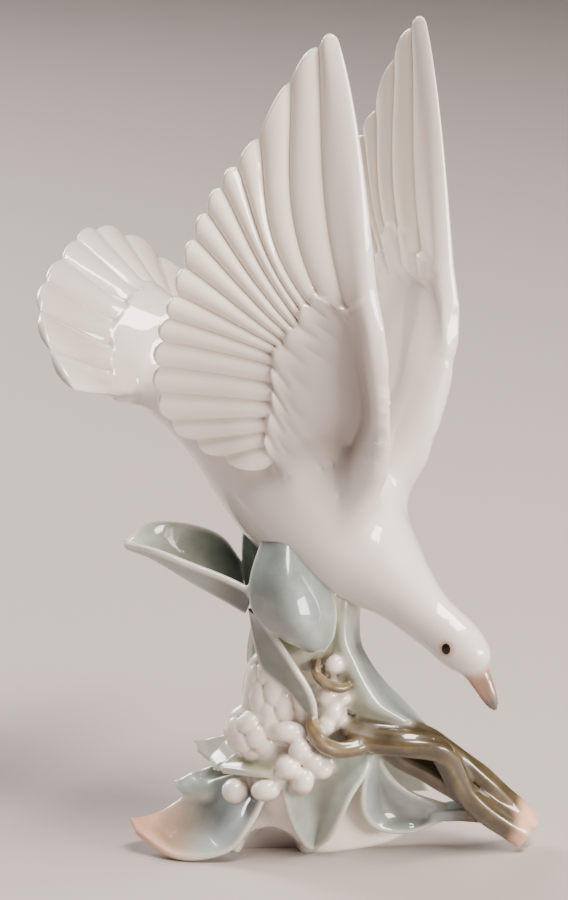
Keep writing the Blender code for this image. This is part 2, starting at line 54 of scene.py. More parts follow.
# %% Drawn units
FIGURE_HEIGHT = 0.288
DRAWN_HEIGHT = 297.0
UNIT = FIGURE_HEIGHT / DRAWN_HEIGHT
DRAWN_MIDDLE = np.array([3.3, 25.15, 0.0])
UP = np.array([0.0, 0.0, 1.0])


def to_metres(points):
    """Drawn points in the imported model's frame: less the middle of the outline, times the unit."""
    return (np.asarray(points) - DRAWN_MIDDLE) * UNIT


print("one drawn unit is %.3f mm" % (UNIT * 1000.0))

# %% [markdown]
# Everything free-formed here runs through a few chosen points. A cubic curve through the points,
# with slopes taken from their neighbours, keeps the rims and profiles smooth, and running it twice,
# along and then across, turns a small net of points into a curved sheet.

# %% Curves and nets


def curve(keys, at):
    """Cubic curve through key rows, place first: it meets the values and slopes of both keys."""
    keys = np.asarray(keys, dtype=float)
    places = keys[:, 0]
    values = keys[:, 1:]
    slopes = np.gradient(values, places, axis=0)
    at = np.clip(np.asarray(at, dtype=float), places[0], places[-1])
    first = np.clip(np.searchsorted(places, at, side="right") - 1, 0, len(places) - 2)
    gap = (places[first + 1] - places[first])[..., None]
    t = ((at - places[first]) / gap[..., 0])[..., None]
    rest = 1.0 - t
    return (
        values[first] * (1.0 + 2.0 * t) * rest ** 2
        + values[first + 1] * (3.0 - 2.0 * t) * t ** 2
        + slopes[first] * gap * t * rest ** 2
        - slopes[first + 1] * gap * t ** 2 * rest
    )


def evenly(rows):
    """Rows of values with their place, 0 to 1, in front."""
    rows = np.asarray(rows, dtype=float)
    return np.column_stack([np.linspace(0.0, 1.0, len(rows)), rows])


def crowded(count):
    """Places from 0 to 1 that crowd towards both ends: half of one less the cosine."""
    return 0.5 - 0.5 * np.cos(math.pi * np.linspace(0.0, 1.0, count))


def net_surface(rails, along, across):
    """Surface through a net: a curve along each rail, then curves across the rails."""
    runs = np.array([curve(evenly(rail), along) for rail in rails])
    crossing = curve(evenly(runs.reshape(len(rails), -1)), across)
    return crossing.reshape(len(across), len(along), 3).transpose(1, 0, 2)


def unit(vectors):
    """Vectors divided by their own length."""
    return vectors / np.maximum(np.linalg.norm(vectors, axis=-1, keepdims=True), 1e-9)


def grid_normals(grid):
    """Unit normals of a grid: the cross product of its two directions."""
    return unit(np.cross(np.gradient(grid, axis=0), np.gradient(grid, axis=1)))


def arc_length(grid, axis):
    """Length run along one direction of a grid: the sum of the steps from its first line."""
    step = np.linalg.norm(np.diff(grid, axis=axis), axis=-1)
    start = np.zeros_like(np.take(step, [0], axis=axis))
    return np.cumsum(np.concatenate([start, step], axis=axis), axis=axis)


def smooth_step(low, high, value):
    """Rise from 0 to 1 between two values: three times the square less twice the cube."""
    t = np.clip((value - low) / (high - low), 0.0, 1.0)
    return t * t * (3.0 - 2.0 * t)


# %% [markdown]
# Paint is a colour for each point of the skin, worked out with the shape: the pale rim of a leaf or
# the peach at the end of the branch follow the form, as a painter's brush does. The colours are
# written as on a screen and turned linear by one function. The fourth number says how mottled the
# paint is.

# %% Colours of the paint


def linear(hex_code, mottle=0.0):
    """Linear colour of an sRGB hex code, with the mottling as its fourth number."""
    code = hex_code.lstrip("#")
    screen = np.array([int(code[k:k + 2], 16) for k in (0, 2, 4)]) / 255.0
    low = screen / 12.92
    high = ((screen + 0.055) / 1.055) ** 2.4
    return np.append(np.where(screen <= 0.04045, low, high), mottle)


WHITE = linear("#e9e1db")
# Painted glow: the thin feathers are painted a warmer, brighter white than the thick body, for the
# light that shines through them; the foot, buds and florets take this white too.
BRIGHT_WHITE = linear("#fcf2e6")
# Painted shade: the tail is painted this greyer white than the body.
TAIL_SHADE_WHITE = linear("#d8cfc9")
# Painted shade: the wings' covering feathers towards the root are painted this greyer white.
COVERT_SHADE_WHITE = linear("#c6bdb7")
CREAM = linear("#eadfce", 0.1)
SAGE = linear("#a3afa4", 0.25)
SAGE_BLUE = linear("#a3aeae", 0.25)
SAGE_GREY = linear("#87928f", 0.3)
SAGE_DARK = linear("#6f7b71", 0.3)
# Deep sage of the riser and of the inside of the upper left leaf, partly painted shade.
DEEP_SAGE_AND_SHADE = linear("#424b45", 0.3)
SAGE_YELLOW = linear("#b3b998", 0.25)
LEAF_RIM = linear("#dfe0d4", 0.1)
PEACH = linear("#d5a588", 0.15)
PEACH_PALE = linear("#e6b998", 0.15)
OLIVE = linear("#584c32", 1.0)
OLIVE_DEEP = linear("#3b3221", 0.6)
OLIVE_PALE = linear("#7b694b", 0.7)
BEAK_PEACH = linear("#c8957a", 0.1)
BEAK_GREY = linear("#6f645e", 0.1)
# Painted shade in hollows and creases: the paint is multiplied by these where the surface lies in a
# hollow.
HOLLOW_SHADE_WARM = np.array([0.8, 0.77, 0.735, 1.0])
HOLLOW_SHADE_DARK = np.array([0.6, 0.58, 0.53, 1.0])


def painted(base, over, amount):
    """One colour brushed over another: their mix by the amount at each point."""
    return base + (over - base) * np.asarray(amount)[..., None]


print("paints are linear, for instance sage", SAGE.round(3))

# %% [markdown]
# A thin form such as a feathered wing or a leaf is a middle surface with a thickness on each side.
# Its two skins meet in a round rim, which is what makes cast porcelain edges look soft. A round
# form is a stack of rings. Both are plain grids of points, so their faces follow from counting.

# %% Skins from grids


def grid_quads(rows, columns, start=0, flip=False, closed=False):
    """Quads of a grid of points by counting, optionally closed round its columns."""
    row = np.arange(rows - 1)[:, None] * columns
    column = np.arange(columns if closed else columns - 1)[None, :]
    after = (column + 1) % columns
    corners = [row + column, row + after, row + columns + after, row + columns + column]
    quads = np.stack(corners, axis=-1).reshape(-1, 4) + start
    return quads[:, ::-1] if flip else quads


def add_object(name, data):
    """Object that holds the data, put into the scene."""
    made = bpy.data.objects.new(name, data)
    bpy.context.collection.objects.link(made)
    return made


def make_shape(name, points, faces, colours, give=None):
    """Mesh of drawn points and faces, with its paint and its give to rounding at each point."""
    mesh = bpy.data.meshes.new(name)
    mesh.from_pydata(to_metres(points).tolist(), [], faces)
    work = bmesh.new()
    work.from_mesh(mesh)
    if work.calc_volume(signed=True) < 0.0:
        bmesh.ops.reverse_faces(work, faces=work.faces)
    work.to_mesh(mesh)
    work.free()
    paint = mesh.attributes.new("paint", "FLOAT_COLOR", "POINT")
    paint.data.foreach_set("color", np.asarray(colours, dtype=np.float32).ravel())
    give = np.ones(len(points)) if give is None else np.maximum(give, 0.02)
    mesh.attributes.new("give", "FLOAT", "POINT").data.foreach_set("value", give.astype(np.float32))
    return add_object(name, mesh)


def thin_form(name, upper, lower, upper_paint, lower_paint, give=None):
    """Closed skin of two grids of one size, joined by a strip round their rim."""
    rows, columns = upper.shape[:2]
    count = rows * columns
    points = np.concatenate([upper.reshape(-1, 3), lower.reshape(-1, 3)])
    index = np.arange(count).reshape(rows, columns)
    rim = np.concatenate([index[0, :-1], index[:-1, -1], index[-1, :0:-1], index[:0:-1, 0]])
    after = np.roll(rim, -1)
    strip = np.stack([after, rim, rim + count, after + count], axis=-1)
    faces = np.concatenate([
        grid_quads(rows, columns),
        grid_quads(rows, columns, start=count, flip=True),
        strip,
    ])
    colours = np.concatenate([upper_paint.reshape(-1, 4), lower_paint.reshape(-1, 4)])
    if give is not None:
        give = np.tile(np.broadcast_to(give, (rows, columns)).ravel(), 2)
    return make_shape(name, points, faces.tolist(), colours, give)


def ring_form(name, rings, colours):
    """Closed skin over a stack of rings, with a flat cap on the first and the last."""
    rows, sides = rings.shape[:2]
    faces = grid_quads(rows, sides, closed=True).tolist()
    faces.append(list(range(sides))[::-1])
    faces.append(list(range((rows - 1) * sides, rows * sides)))
    return make_shape(name, rings.reshape(-1, 3), faces, colours.reshape(-1, 4))


def line_distance(points, line):
    """Distance from each point to a line: the least of those to its straight steps."""
    start = line[:-1]
    step = line[1:] - start
    offset = points[..., None, :] - start
    share = (offset * step).sum(-1) / np.maximum((step * step).sum(-1), 1e-9)
    nearest = offset - np.clip(share, 0.0, 1.0)[..., None] * step
    return np.linalg.norm(nearest, axis=-1).min(-1)


# %% [markdown]
# The bird heads down to the right and a little towards the viewer. Its own directions are forward,
# to its right side and up, and every part of it is drawn in them.

# %% The bird's directions
HEADING = math.radians(-30.0)
BIRD_MIDDLE = np.array([6.7, 5.0, 0.0])
FORWARD = np.array([math.cos(HEADING), math.sin(HEADING), 0.0])
RIGHT = np.array([math.sin(HEADING), -math.cos(HEADING), 0.0])


def from_bird(forward, right, height):
    """Places of the figure: the bird's middle plus so much forward, to its right and up."""
    return (
        BIRD_MIDDLE
        + np.asarray(forward)[..., None] * FORWARD
        + np.asarray(right)[..., None] * RIGHT
        + np.asarray(height)[..., None] * UP
    )


# %% [markdown]
# The body is one long swelling form from the rump to the crown. Each key row gives a point of its
# middle line with the half width and half depth there, and an ellipse square to the line is carried
# along it. The rings crowd towards the head, where the form is smallest.

# %% Body and head
BODY_KEYS = [
    (-66, 185, 17, 2.5), (-60, 177, 24, 10.5), (-50, 167, 25, 15.5), (-39, 160, 24.8, 16.6),
    (-27, 152, 25, 19.3), (-14, 142, 26.5, 23.8), (-1, 131, 27.5, 26), (11, 121, 26.5, 25.2),
    (22, 112.5, 23, 22), (32, 105, 17.2, 17), (41, 98, 12.6, 12.4), (49.5, 91, 9.9, 9.9),
    (57.5, 85.6, 9, 9.2), (64, 80.8, 8.6, 9), (69, 76.4, 6.8, 7.4), (71.6, 73, 3.6, 4.2),
]
BODY_RINGS = 150
BODY_SIDES = 112


def full_turn(sides):
    """Angles once round a ring, evenly spaced."""
    return np.linspace(0.0, 2.0 * math.pi, sides, endpoint=False)


def profile_rings(keys, at, sides):
    """Ellipses along a line: cosine times the half width, sine times the half depth."""
    table = curve(evenly(keys), at)
    middles = from_bird(table[:, 0], np.zeros(len(at)), table[:, 1])
    heading = unit(np.gradient(middles, axis=0))
    upward = np.cross(heading, RIGHT)
    angle = full_turn(sides)
    return (
        middles[:, None]
        + RIGHT * (table[:, 2, None] * np.cos(angle))[..., None]
        + upward[:, None] * (table[:, 3, None] * np.sin(angle))[..., None]
    )


def flat_paint(shape, colour):
    """The same paint at every point of a grid."""
    return np.broadcast_to(colour, tuple(shape) + (4,)).copy()


body_rings = profile_rings(BODY_KEYS, np.linspace(0.0, 1.0, BODY_RINGS) ** 0.9, BODY_SIDES)
bird_shapes = [ring_form("body", body_rings, flat_paint(body_rings.shape[:2], WHITE))]
print("body", len(bird_shapes[0].data.polygons), "faces")

# %% [markdown]
# The beak is a short hooked cone that swells over the nostrils. Its peach paint fades into the
# white of the face, and into grey on the under side and at the tip. A fine groove marks where it
# opens.

# %% Beak
BEAK_KEYS = [
    (64, 82.3, 3.4, 4), (67, 78.2, 4.3, 5.2), (70.1, 73.2, 4.1, 5.1), (72.9, 68.7, 3.2, 4.1),
    (75.2, 64.6, 2.4, 3.1), (76.9, 61.6, 1.5, 2.1), (77.9, 59.8, 0.4, 0.6),
]
BEAK_RINGS = 60
BEAK_SIDES = 48
GAPE_DEPTH = 0.09
SWELLING = 0.1


def bell(value, middle, width):
    """Bell curve: e to the minus square of the distance from the middle over the width."""
    return np.exp(-(((value - middle) / width) ** 2))


beak_at = np.linspace(0.0, 1.0, BEAK_RINGS)
beak_rings = profile_rings(BEAK_KEYS, beak_at, BEAK_SIDES)
beak_middle = beak_rings.mean(axis=1, keepdims=True)
beak_angle = full_turn(BEAK_SIDES)
gape = bell(np.abs(np.sin(beak_angle + 0.25)), 0.0, 0.16) * GAPE_DEPTH
gape = gape[None, :] * smooth_step(0.3, 0.45, beak_at)[:, None]
beak_rings = beak_middle + (beak_rings - beak_middle) * (1.0 - gape)[..., None]
swelling = SWELLING * bell(beak_at, 0.33, 0.09)[:, None] * np.clip(np.sin(beak_angle), 0.0, 1.0)
beak_rings = beak_middle + (beak_rings - beak_middle) * (1.0 + swelling)[..., None]
beak_row = np.repeat(beak_at[:, None], BEAK_SIDES, axis=1)
lower_side = smooth_step(0.15, -0.35, np.sin(beak_angle))[None, :]
beak_paint = painted(WHITE, BEAK_PEACH, smooth_step(0.24, 0.42, beak_row))
grey = 0.75 * lower_side * smooth_step(0.3, 0.5, beak_row)
grey = np.maximum(smooth_step(0.55, 0.8, beak_row), grey)
beak_paint = painted(beak_paint, BEAK_GREY, grey)
bird_shapes.append(ring_form("beak", beak_rings, beak_paint))
print("beak %.1f mm" % (np.linalg.norm(beak_middle[-1] - beak_middle[0]) * UNIT * 1000.0))

# %% [markdown]
# Each wing is one blade with seventeen flight feathers. The grid's columns follow the feathers from
# the shoulder out, so a groove between two feathers is a line of the grid and stays crisp. Rows run
# from the feather tips to the edge of the small covering feathers and on to the root. The blade
# opens from the shoulder line and is dished on the inner side.

# %% Wing outline
WING_FEATHERS = 17
COLUMNS_PER_FEATHER = 8
FEATHER_TIP_KEYS = [
    (0, 17.6, 295.6), (1, 24.2, 292), (2, 34, 280.5), (3, 44.6, 261.5), (5, 57, 244.4),
    (7, 65.4, 226.9), (9, 71, 207.6), (11, 76.2, 191), (13, 77.8, 171.5), (14, 75.7, 161.1),
    (15, 68.2, 153.7), (16, 59.5, 147.9), (17, 46.5, 143.5),
]
COVERT_KEYS = [
    (0, 2.6, 211), (1, 14.5, 205), (2, 24.5, 208), (3, 29, 206), (5, 32.2, 200), (7, 35.6, 195),
    (9, 39.3, 190.3), (11, 41.3, 183.5), (13, 42.2, 170), (15, 45.6, 158.5), (16, 46, 153),
    (17, 43, 147.5),
]
ROOT_KEYS = [
    (0, -0.4, 197), (3, -1.5, 181), (6, -1.5, 166), (8, 1.4, 154), (9.5, 8, 142),
    (11, 14.5, 132), (12.5, 22, 122), (14, 30, 115), (15.5, 36, 117), (17, 41, 126),
]
BOW_KEYS = [
    (0, -2.2), (1, 3.2), (2, 5), (3, 5), (4, 2.8), (6, 1.6), (9, 0), (17, 0),
]
LEADING_FEATHERS = 12
WING_OPENING = 25.0
WING_FOOT_CLOSING = 17.0
WING_FRONT = 47.0
WING_SHOULDER = 27.5
WING_FOOT_TUCK = 9.0
WING_CHORD = 82.0
WING_DISH = 20.0


def wing_place(back, height, side):
    """Wing's middle surface: back by the cosine of its opening, out by the sine, less a dish."""
    closing = WING_FOOT_CLOSING * np.clip((205.0 - height) / 65.0, 0.0, 1.0) ** 1.3
    opening = np.radians(WING_OPENING - closing)
    tuck = WING_FOOT_TUCK * np.maximum((200.0 - height) / 48.0, 0.0) ** 1.6
    tuck = tuck * (1.0 - smooth_step(22.0, 56.0, back))
    share = np.clip(back / WING_CHORD, 0.0, 1.0)
    outward = WING_SHOULDER - tuck + back * np.sin(opening) - WING_DISH * share * (1.0 - share)
    return from_bird(WING_FRONT - back * np.cos(opening), side * outward, height)


# %% [markdown]
# The relief is added to the blade's thickness. A feather is a rounded ridge that lies a little over
# its neighbour, so its profile is an arch plus a slight slope. The covering feathers end in a step
# with rounded lobes, further out on the back of the wing than on its under side. The leading edge
# is a thick smooth roll, and behind it the under side is hollow down to the shoulder. The thin
# feathers carry a painted glow, brighter and warmer for the light that comes through them, and the
# covering feathers towards the root carry painted shade, a greyer white.

# %% Feather relief
FEATHER_EDGE = 1.1
FEATHER_RELIEF = 2.0
FEATHER_LAP = 0.35
TIP_REACH = 2.8
COVERT_STEP = 1.1
COVERT_LOBE = 8.4
UNDER_COVERT_ROW = 1.0
BACK_COVERT_ROW = 0.78
WING_HALF = 3.4
LEADING_ROUND = 5.0
LEADING_ROLL = 1.5
HOLLOW_DEPTH = 8.5
HOLLOW_MIDDLE = 16.5
HOLLOW_FRONT_WIDTH = 8.5
HOLLOW_BACK_WIDTH = 12.0


def ridge(place):
    """Arch over each whole step, 0 in the grooves: three parts parabola, one part half circle."""
    across = 2.0 * (place % 1.0) - 1.0
    inside = np.clip(1.0 - across ** 2, 0.0, 1.0)
    return 0.75 * inside + 0.25 * np.sqrt(inside)


def round_rim(distance, radius):
    """Quarter circle: 0 on the rim, 1 at the radius from it."""
    share = np.clip(distance / radius, 0.0, 1.0)
    return np.sqrt(1.0 - (1.0 - share) ** 2)


def feather_places(feathers):
    """Places counted in feathers, crowded at the grooves: half of one less the cosine in each."""
    steps = np.arange(feathers * COLUMNS_PER_FEATHER + 1) / COLUMNS_PER_FEATHER
    return np.floor(steps) + 0.5 - 0.5 * np.cos(math.pi * (steps % 1.0))


def wing_rows():
    """Rows of the blade, 0 at the tips, 1 at the edge of the under coverts and 2 at the root."""
    tip = 0.12 * np.linspace(0.0, 1.0, 12) ** 2
    vane = np.linspace(0.14, 0.7, 20)
    back = np.linspace(0.725, 0.84, 12)
    under = np.linspace(0.86, 1.1, 16)
    cover = np.linspace(1.13, 2.0, 26)
    return np.concatenate([tip, vane, back, under, cover])


def covert_relief(boundary, row, edge_row, phase):
    """Step up inside a waved edge, plus two rows of arches that fade towards the root."""
    lobes = ridge(boundary / COVERT_LOBE + phase)
    edge_row = 1.0 - (1.0 - edge_row) * smooth_step(0.0, 0.3, boundary / boundary[-1])
    edge = edge_row - 0.05 * (lobes - 0.5)
    inside = np.clip((row - edge) / (2.0 - edge), 0.0, 1.0)
    rise = smooth_step(0.0, 0.03, inside)
    fade = 1.0 - smooth_step(0.02, 0.24, inside)
    second = ridge(boundary / COVERT_LOBE + phase + 0.5) * smooth_step(0.12, 0.2, inside)
    second = second * (1.0 - smooth_step(0.25, 0.45, inside))
    step = COVERT_STEP * rise * (0.5 + 0.5 * fade) + 0.35 * second
    return step + 1.25 * (lobes - 0.6) * rise * fade, rise


def make_wing(name, side):
    """Wing blade: the middle surface moved out on each side by half its thickness and relief."""
    number = feather_places(WING_FEATHERS)
    row = wing_rows()[:, None]
    arch = ridge(number)
    arch[-1] = 0.0
    tips = curve(FEATHER_TIP_KEYS, number)
    coverts = curve(COVERT_KEYS, number)
    roots = curve(ROOT_KEYS, number)
    tips = tips + unit(tips - coverts) * (TIP_REACH * arch)[:, None]
    vane = np.clip(row, 0.0, 1.0)
    cover = np.clip(row - 1.0, 0.0, 1.0)
    flat = tips * (1.0 - vane[..., None]) + coverts * vane[..., None]
    flat = flat * (1.0 - cover[..., None]) + roots * cover[..., None]
    bow = curve(BOW_KEYS, number)[:, 0]
    flat[..., 0] += bow * np.sin(math.pi * vane ** np.where(number < 0.7, 0.7, 1.3))

    leading_count = LEADING_FEATHERS * COLUMNS_PER_FEATHER
    leading = np.vstack([flat[:, 0], roots[:leading_count:4]])[::2]
    from_leading = line_distance(flat, leading)
    low = smooth_step(262.0, 205.0, flat[..., 1])
    dip = smooth_step(222.0, 172.0, flat[..., 1])
    shoulder = smooth_step(114.0, 138.0, flat[..., 1])
    wide = np.where(from_leading < HOLLOW_MIDDLE, HOLLOW_FRONT_WIDTH, HOLLOW_BACK_WIDTH)
    hollow = HOLLOW_DEPTH * bell(from_leading, HOLLOW_MIDDLE, wide) * dip * shoulder
    middle = wing_place(flat[..., 0], flat[..., 1], side) - side * RIGHT * hollow[..., None]

    rim = round_rim(row * 75.0, 1.6)
    half = FEATHER_EDGE + (WING_HALF - FEATHER_EDGE - 0.8) * vane ** 1.2
    flesh = np.clip((168.0 - flat[..., 1]) / 30.0, 0.0, 1.0) ** 2 * cover
    roll = LEADING_ROLL * bell(from_leading, 4.0, 3.2) * (0.35 + 0.65 * low)
    half = (half + 4.0 * flesh + roll) * round_rim(from_leading, LEADING_ROUND)
    away = smooth_step(1.0, 8.0, from_leading)
    slope = FEATHER_LAP * ((number % 1.0) - 0.5) * smooth_step(0.0, 0.2, arch)
    feather = FEATHER_RELIEF * (arch - 0.6) * (1.0 - 0.35 * vane) + slope
    boundary = arc_length(coverts[:, None], 0)[:, 0]
    skins = []
    for edge_row, phase in ((BACK_COVERT_ROW, 0.2), (UNDER_COVERT_ROW, 0.55)):
        step, rise = covert_relief(boundary, row, edge_row, phase)
        relief = (feather * (1.0 - rise) + step) * away
        skins.append(np.maximum((half + relief) * rim, 0.15)[..., None])
    normal = grid_normals(middle)
    outside = np.sign((normal * RIGHT * side).sum(-1).mean())
    under = middle + normal * outside * skins[1]
    back = middle - normal * outside * skins[0]
    # Painted glow on the thin feathers, painted shade on the covering feathers towards the root,
    # plain white along the thick leading edge.
    inner = smooth_step(0.8, 1.25, row) * np.ones_like(from_leading)
    paint = painted(BRIGHT_WHITE, COVERT_SHADE_WHITE, inner)
    paint = painted(paint, WHITE, smooth_step(9.0, 4.0, from_leading))
    return thin_form(name, under, back, paint, paint, 0.03 + 0.97 * smooth_step(0.95, 1.25, row))


SHOULDER = [
    (45, 24.5, 184, 1.6), (44.8, 22.3, 172, 3), (42.8, 18.9, 158, 4.1), (38.4, 15.6, 146, 5),
    (31.5, 13.2, 135, 6.2), (25.5, 12.4, 124, 7.4), (18.5, 11, 112, 7),
]


def path_rings(middle, radius, sides, steep=0.9):
    """Rings along a path: cosine times the radius level across it, sine times it above."""
    heading = unit(np.gradient(middle, axis=0))
    aside = unit(np.cross(heading, np.where(np.abs(heading[:, 2:]) > steep, FORWARD, UP)))
    above = np.cross(aside, heading)
    angle = full_turn(sides)[None, :]
    radius = np.broadcast_to(radius, (len(middle), sides))
    return (
        middle[:, None]
        + aside[:, None] * (radius * np.cos(angle))[..., None]
        + above[:, None] * (radius * np.sin(angle))[..., None]
    )


def make_shoulder(name, side):
    """Shoulder: a tube down into the breast whose radius swells as it goes."""
    table = curve(evenly(SHOULDER), np.linspace(0.0, 1.0, 50))
    middle = from_bird(table[:, 0], side * table[:, 1], table[:, 2])
    rings = path_rings(middle, table[:, 3, None], 36)
    return ring_form(name, rings, flat_paint(rings.shape[:2], WHITE))


bird_shapes += [make_wing("wing_right", 1.0), make_wing("wing_left", -1.0)]
bird_shapes += [make_shoulder("shoulder_right", 1.0), make_shoulder("shoulder_left", -1.0)]
print("wings", [len(shape.data.polygons) for shape in bird_shapes[-2:]], "faces")

# %% [markdown]
# The tail is a fan of eleven feathers that spreads from the rump. Its feathers are laid out by
# angle and reach, the fan is tilted back and hangs at its sides, and a domed patch of covering
# feathers ends in a step over its root.

# %% Tail
TAIL_FEATHERS = 11
TAIL_RADIUS = 72.5
TAIL_COVERT_RADIUS = 41.0
TAIL_CENTRE = (-38.5, 173.5)
TAIL_PITCH = math.radians(38.0)
TAIL_ROLL = math.radians(4.0)
TAIL_HALF_SPREAD = math.radians(82.0)
TAIL_TIP_DROP = 12.0
TAIL_ROOT_DROP = 24.0
TAIL_COVERT_END = 0.54
TAIL_SHORTER = 0.085
TAIL_RELIEF = 1.7
TAIL_DOME = 9.0
TAIL_BELLY = 15.0
TAIL_RIM = 1.2


def tail_place(reach, angle):
    """Fan: reach times cosine back and times sine aside, less a drop by the sine squared."""
    share = reach / TAIL_RADIUS
    along = reach * np.cos(angle)
    aside = reach * np.sin(angle)
    drop = (TAIL_ROOT_DROP * (1.0 - share) + TAIL_TIP_DROP * share) * np.sin(angle) ** 2
    rise = aside * math.sin(TAIL_ROLL) - drop * math.cos(TAIL_ROLL)
    aside = aside * math.cos(TAIL_ROLL) + drop * math.sin(TAIL_ROLL)
    forward = TAIL_CENTRE[0] - along * math.cos(TAIL_PITCH) + rise * math.sin(TAIL_PITCH)
    height = TAIL_CENTRE[1] + along * math.sin(TAIL_PITCH) + rise * math.cos(TAIL_PITCH)
    return from_bird(forward, aside, height)


def make_tail(name):
    """Tail blade: the fan moved out on each side by thickness, feather arches and the dome."""
    number = feather_places(TAIL_FEATHERS)
    angle = (number / TAIL_FEATHERS * 2.0 - 1.0) * TAIL_HALF_SPREAD
    tip = 1.0 - 0.05 * np.linspace(1.0, 0.0, 10) ** 2
    row = np.concatenate([np.linspace(0.3, 0.5, 14), np.linspace(0.51, 0.6, 16),
                          np.linspace(0.63, 0.94, 18), tip])[:, None]
    arch = ridge(number)
    reach = row * TAIL_RADIUS * (1.0 + 0.03 * (arch - 1.0) * np.clip((row - 0.5) * 2.0, 0.0, 1.0))
    shorter = bell(angle, 0.35, 0.4) + smooth_step(-0.4, -1.0, angle)
    reach = reach * (0.99 - TAIL_SHORTER * shorter)
    middle = tail_place(reach, angle)

    lobes = ridge(number / 1.6 + 0.3)
    edge = TAIL_COVERT_END + 0.025 * (lobes - 0.5)
    rise = smooth_step(0.012, -0.012, row - edge)
    side_fade = np.clip((TAIL_HALF_SPREAD - np.abs(angle)) / 0.35, 0.0, 1.0)
    inner = np.clip(1.0 - reach / TAIL_COVERT_RADIUS, 0.0, 1.0)
    dome = rise * (0.9 * (0.4 + 0.6 * side_fade) + 0.4 * (lobes - 0.5) * (1.0 - inner) ** 2)
    dome = dome + TAIL_DOME * inner ** 1.1 * (0.35 + 0.65 * side_fade)
    belly = (1.5 * rise + TAIL_BELLY * inner ** 0.9) * (0.5 + 0.5 * side_fade)
    half = FEATHER_EDGE + 0.8 * (1.0 - row)
    feather = TAIL_RELIEF * (arch - 0.55) * (1.0 - rise)
    from_side = (TAIL_HALF_SPREAD - np.abs(angle)) * reach
    rim = round_rim((1.0 - row) * TAIL_RADIUS, TAIL_RIM)
    rim = np.minimum(rim, round_rim(from_side, TAIL_RIM))
    normal = grid_normals(middle)
    normal = normal * np.sign((normal @ UP).mean())
    over = middle + normal * np.maximum((half + dome + feather) * rim, 0.12)[..., None]
    under = middle - normal * np.maximum((half + belly + feather) * rim, 0.12)[..., None]
    # Painted shade: the whole tail is painted greyer than the body.
    paint = flat_paint(middle.shape[:2], TAIL_SHADE_WHITE)
    return thin_form(name, over, under, paint, paint, 0.03 + 0.97 * smooth_step(0.56, 0.4, row))


bird_shapes.append(make_tail("tail"))
print("tail", len(bird_shapes[-1].data.polygons), "faces")

# %% [markdown]
# Cast parts are joined wet and the maker's sponge rounds every join with soft clay, so nothing on
# the real figure meets in a hard crease. Here a Boolean union makes one closed skin. Points that
# the union adds lie on the joins, so nearness to them is known. Right at a join the points are
# first evened out. Then points near it are moved many times towards the middle of their
# neighbours, fully where that is outward and hardly where it is inward: creases fill up, while thin
# edges keep their size. The paint runs across the join too. Hollows get painted shade: the paint is
# darkened wherever the surroundings stand out over a point.

# %% Join and round
SMALLEST_EDGE = 0.00003
FIRST_EVENING = 40
PAINT_EVENING = 12
SHADE_EVENING = 14
SHADE_DEPTH = 0.0007
INWARD_SHARE = 0.08
SLIDING_SHARE = 0.4


def rows_of(values, key, width, kind=float):
    """One property of a mesh's points, edges or corners, as rows of the given width."""
    flat = np.empty(len(values) * width, dtype=kind)
    values.foreach_get(key, flat)
    return flat.reshape(-1, width)


def triangle_corners(mesh):
    """Point numbers of the three corners of each triangle."""
    return rows_of(mesh.loops, "vertex_index", 1, np.int64).reshape(-1, 3)


def boolean(shape, operation, **others):
    """Mesh of a shape after a Boolean with the others: united, or cut out of it."""
    step = shape.modifiers.new("boolean", "BOOLEAN")
    step.operation = operation
    step.solver = "MANIFOLD"
    for name, value in others.items():
        setattr(step, name, value)
    bpy.context.view_layer.update()
    evaluated = shape.evaluated_get(bpy.context.evaluated_depsgraph_get())
    return bpy.data.meshes.new_from_object(evaluated)


def doubled_faces(mesh):
    """Numbers of the triangles that lie back to back: another has the same three corners."""
    corners = np.sort(triangle_corners(mesh), axis=1)
    _, group, times = np.unique(corners, axis=0, return_inverse=True, return_counts=True)
    return np.flatnonzero(times[group.ravel()] > 1).tolist()


def close_skin(mesh):
    """Turn a mesh into triangles without slivers, holes or faces that lie back to back."""
    work = bmesh.new()
    work.from_mesh(mesh)
    bmesh.ops.dissolve_degenerate(work, edges=work.edges, dist=SMALLEST_EDGE)
    bmesh.ops.holes_fill(work, edges=work.edges)
    bmesh.ops.triangulate(work, faces=work.faces)
    work.to_mesh(mesh)
    flaps = doubled_faces(mesh)
    while flaps:
        work.faces.ensure_lookup_table()
        bmesh.ops.delete(work, geom=[work.faces[k] for k in flaps], context="FACES")
        work.to_mesh(mesh)
        flaps = doubled_faces(mesh)
    work.free()


def neighbour_mean(values, edges, count):
    """Mean of each point's neighbours: sums over the edges divided by the number of them."""
    both = np.concatenate([edges, edges[:, ::-1]])
    number = np.bincount(both[:, 0], minlength=count)
    sums = [np.bincount(both[:, 0], weights=column[both[:, 1]], minlength=count)
            for column in values.T]
    return np.stack(sums, axis=-1) / np.maximum(number, 1)[:, None]


def fill_gaps(values, missing, edges):
    """Give points without values the mean of their neighbours that have them, four times over."""
    known = (~missing).astype(float)
    for _ in range(4):
        table = np.column_stack([values, np.ones(len(values))]) * known[:, None]
        mean = neighbour_mean(table, edges, len(values))
        fresh = (known == 0.0) & (mean[:, -1] > 0.0)
        values[fresh] = mean[fresh, :-1] / mean[fresh, -1:]
        known[fresh] = 1.0


def nearness(points, edges, seam, radius):
    """One on the joins, falling to zero at the radius, carried from point to point."""
    near = seam.astype(float)
    length = np.linalg.norm(points[edges[:, 0]] - points[edges[:, 1]], axis=1) / radius
    for _ in range(40):
        np.maximum.at(near, edges[:, 0], near[edges[:, 1]] - length)
        np.maximum.at(near, edges[:, 1], near[edges[:, 0]] - length)
    return near


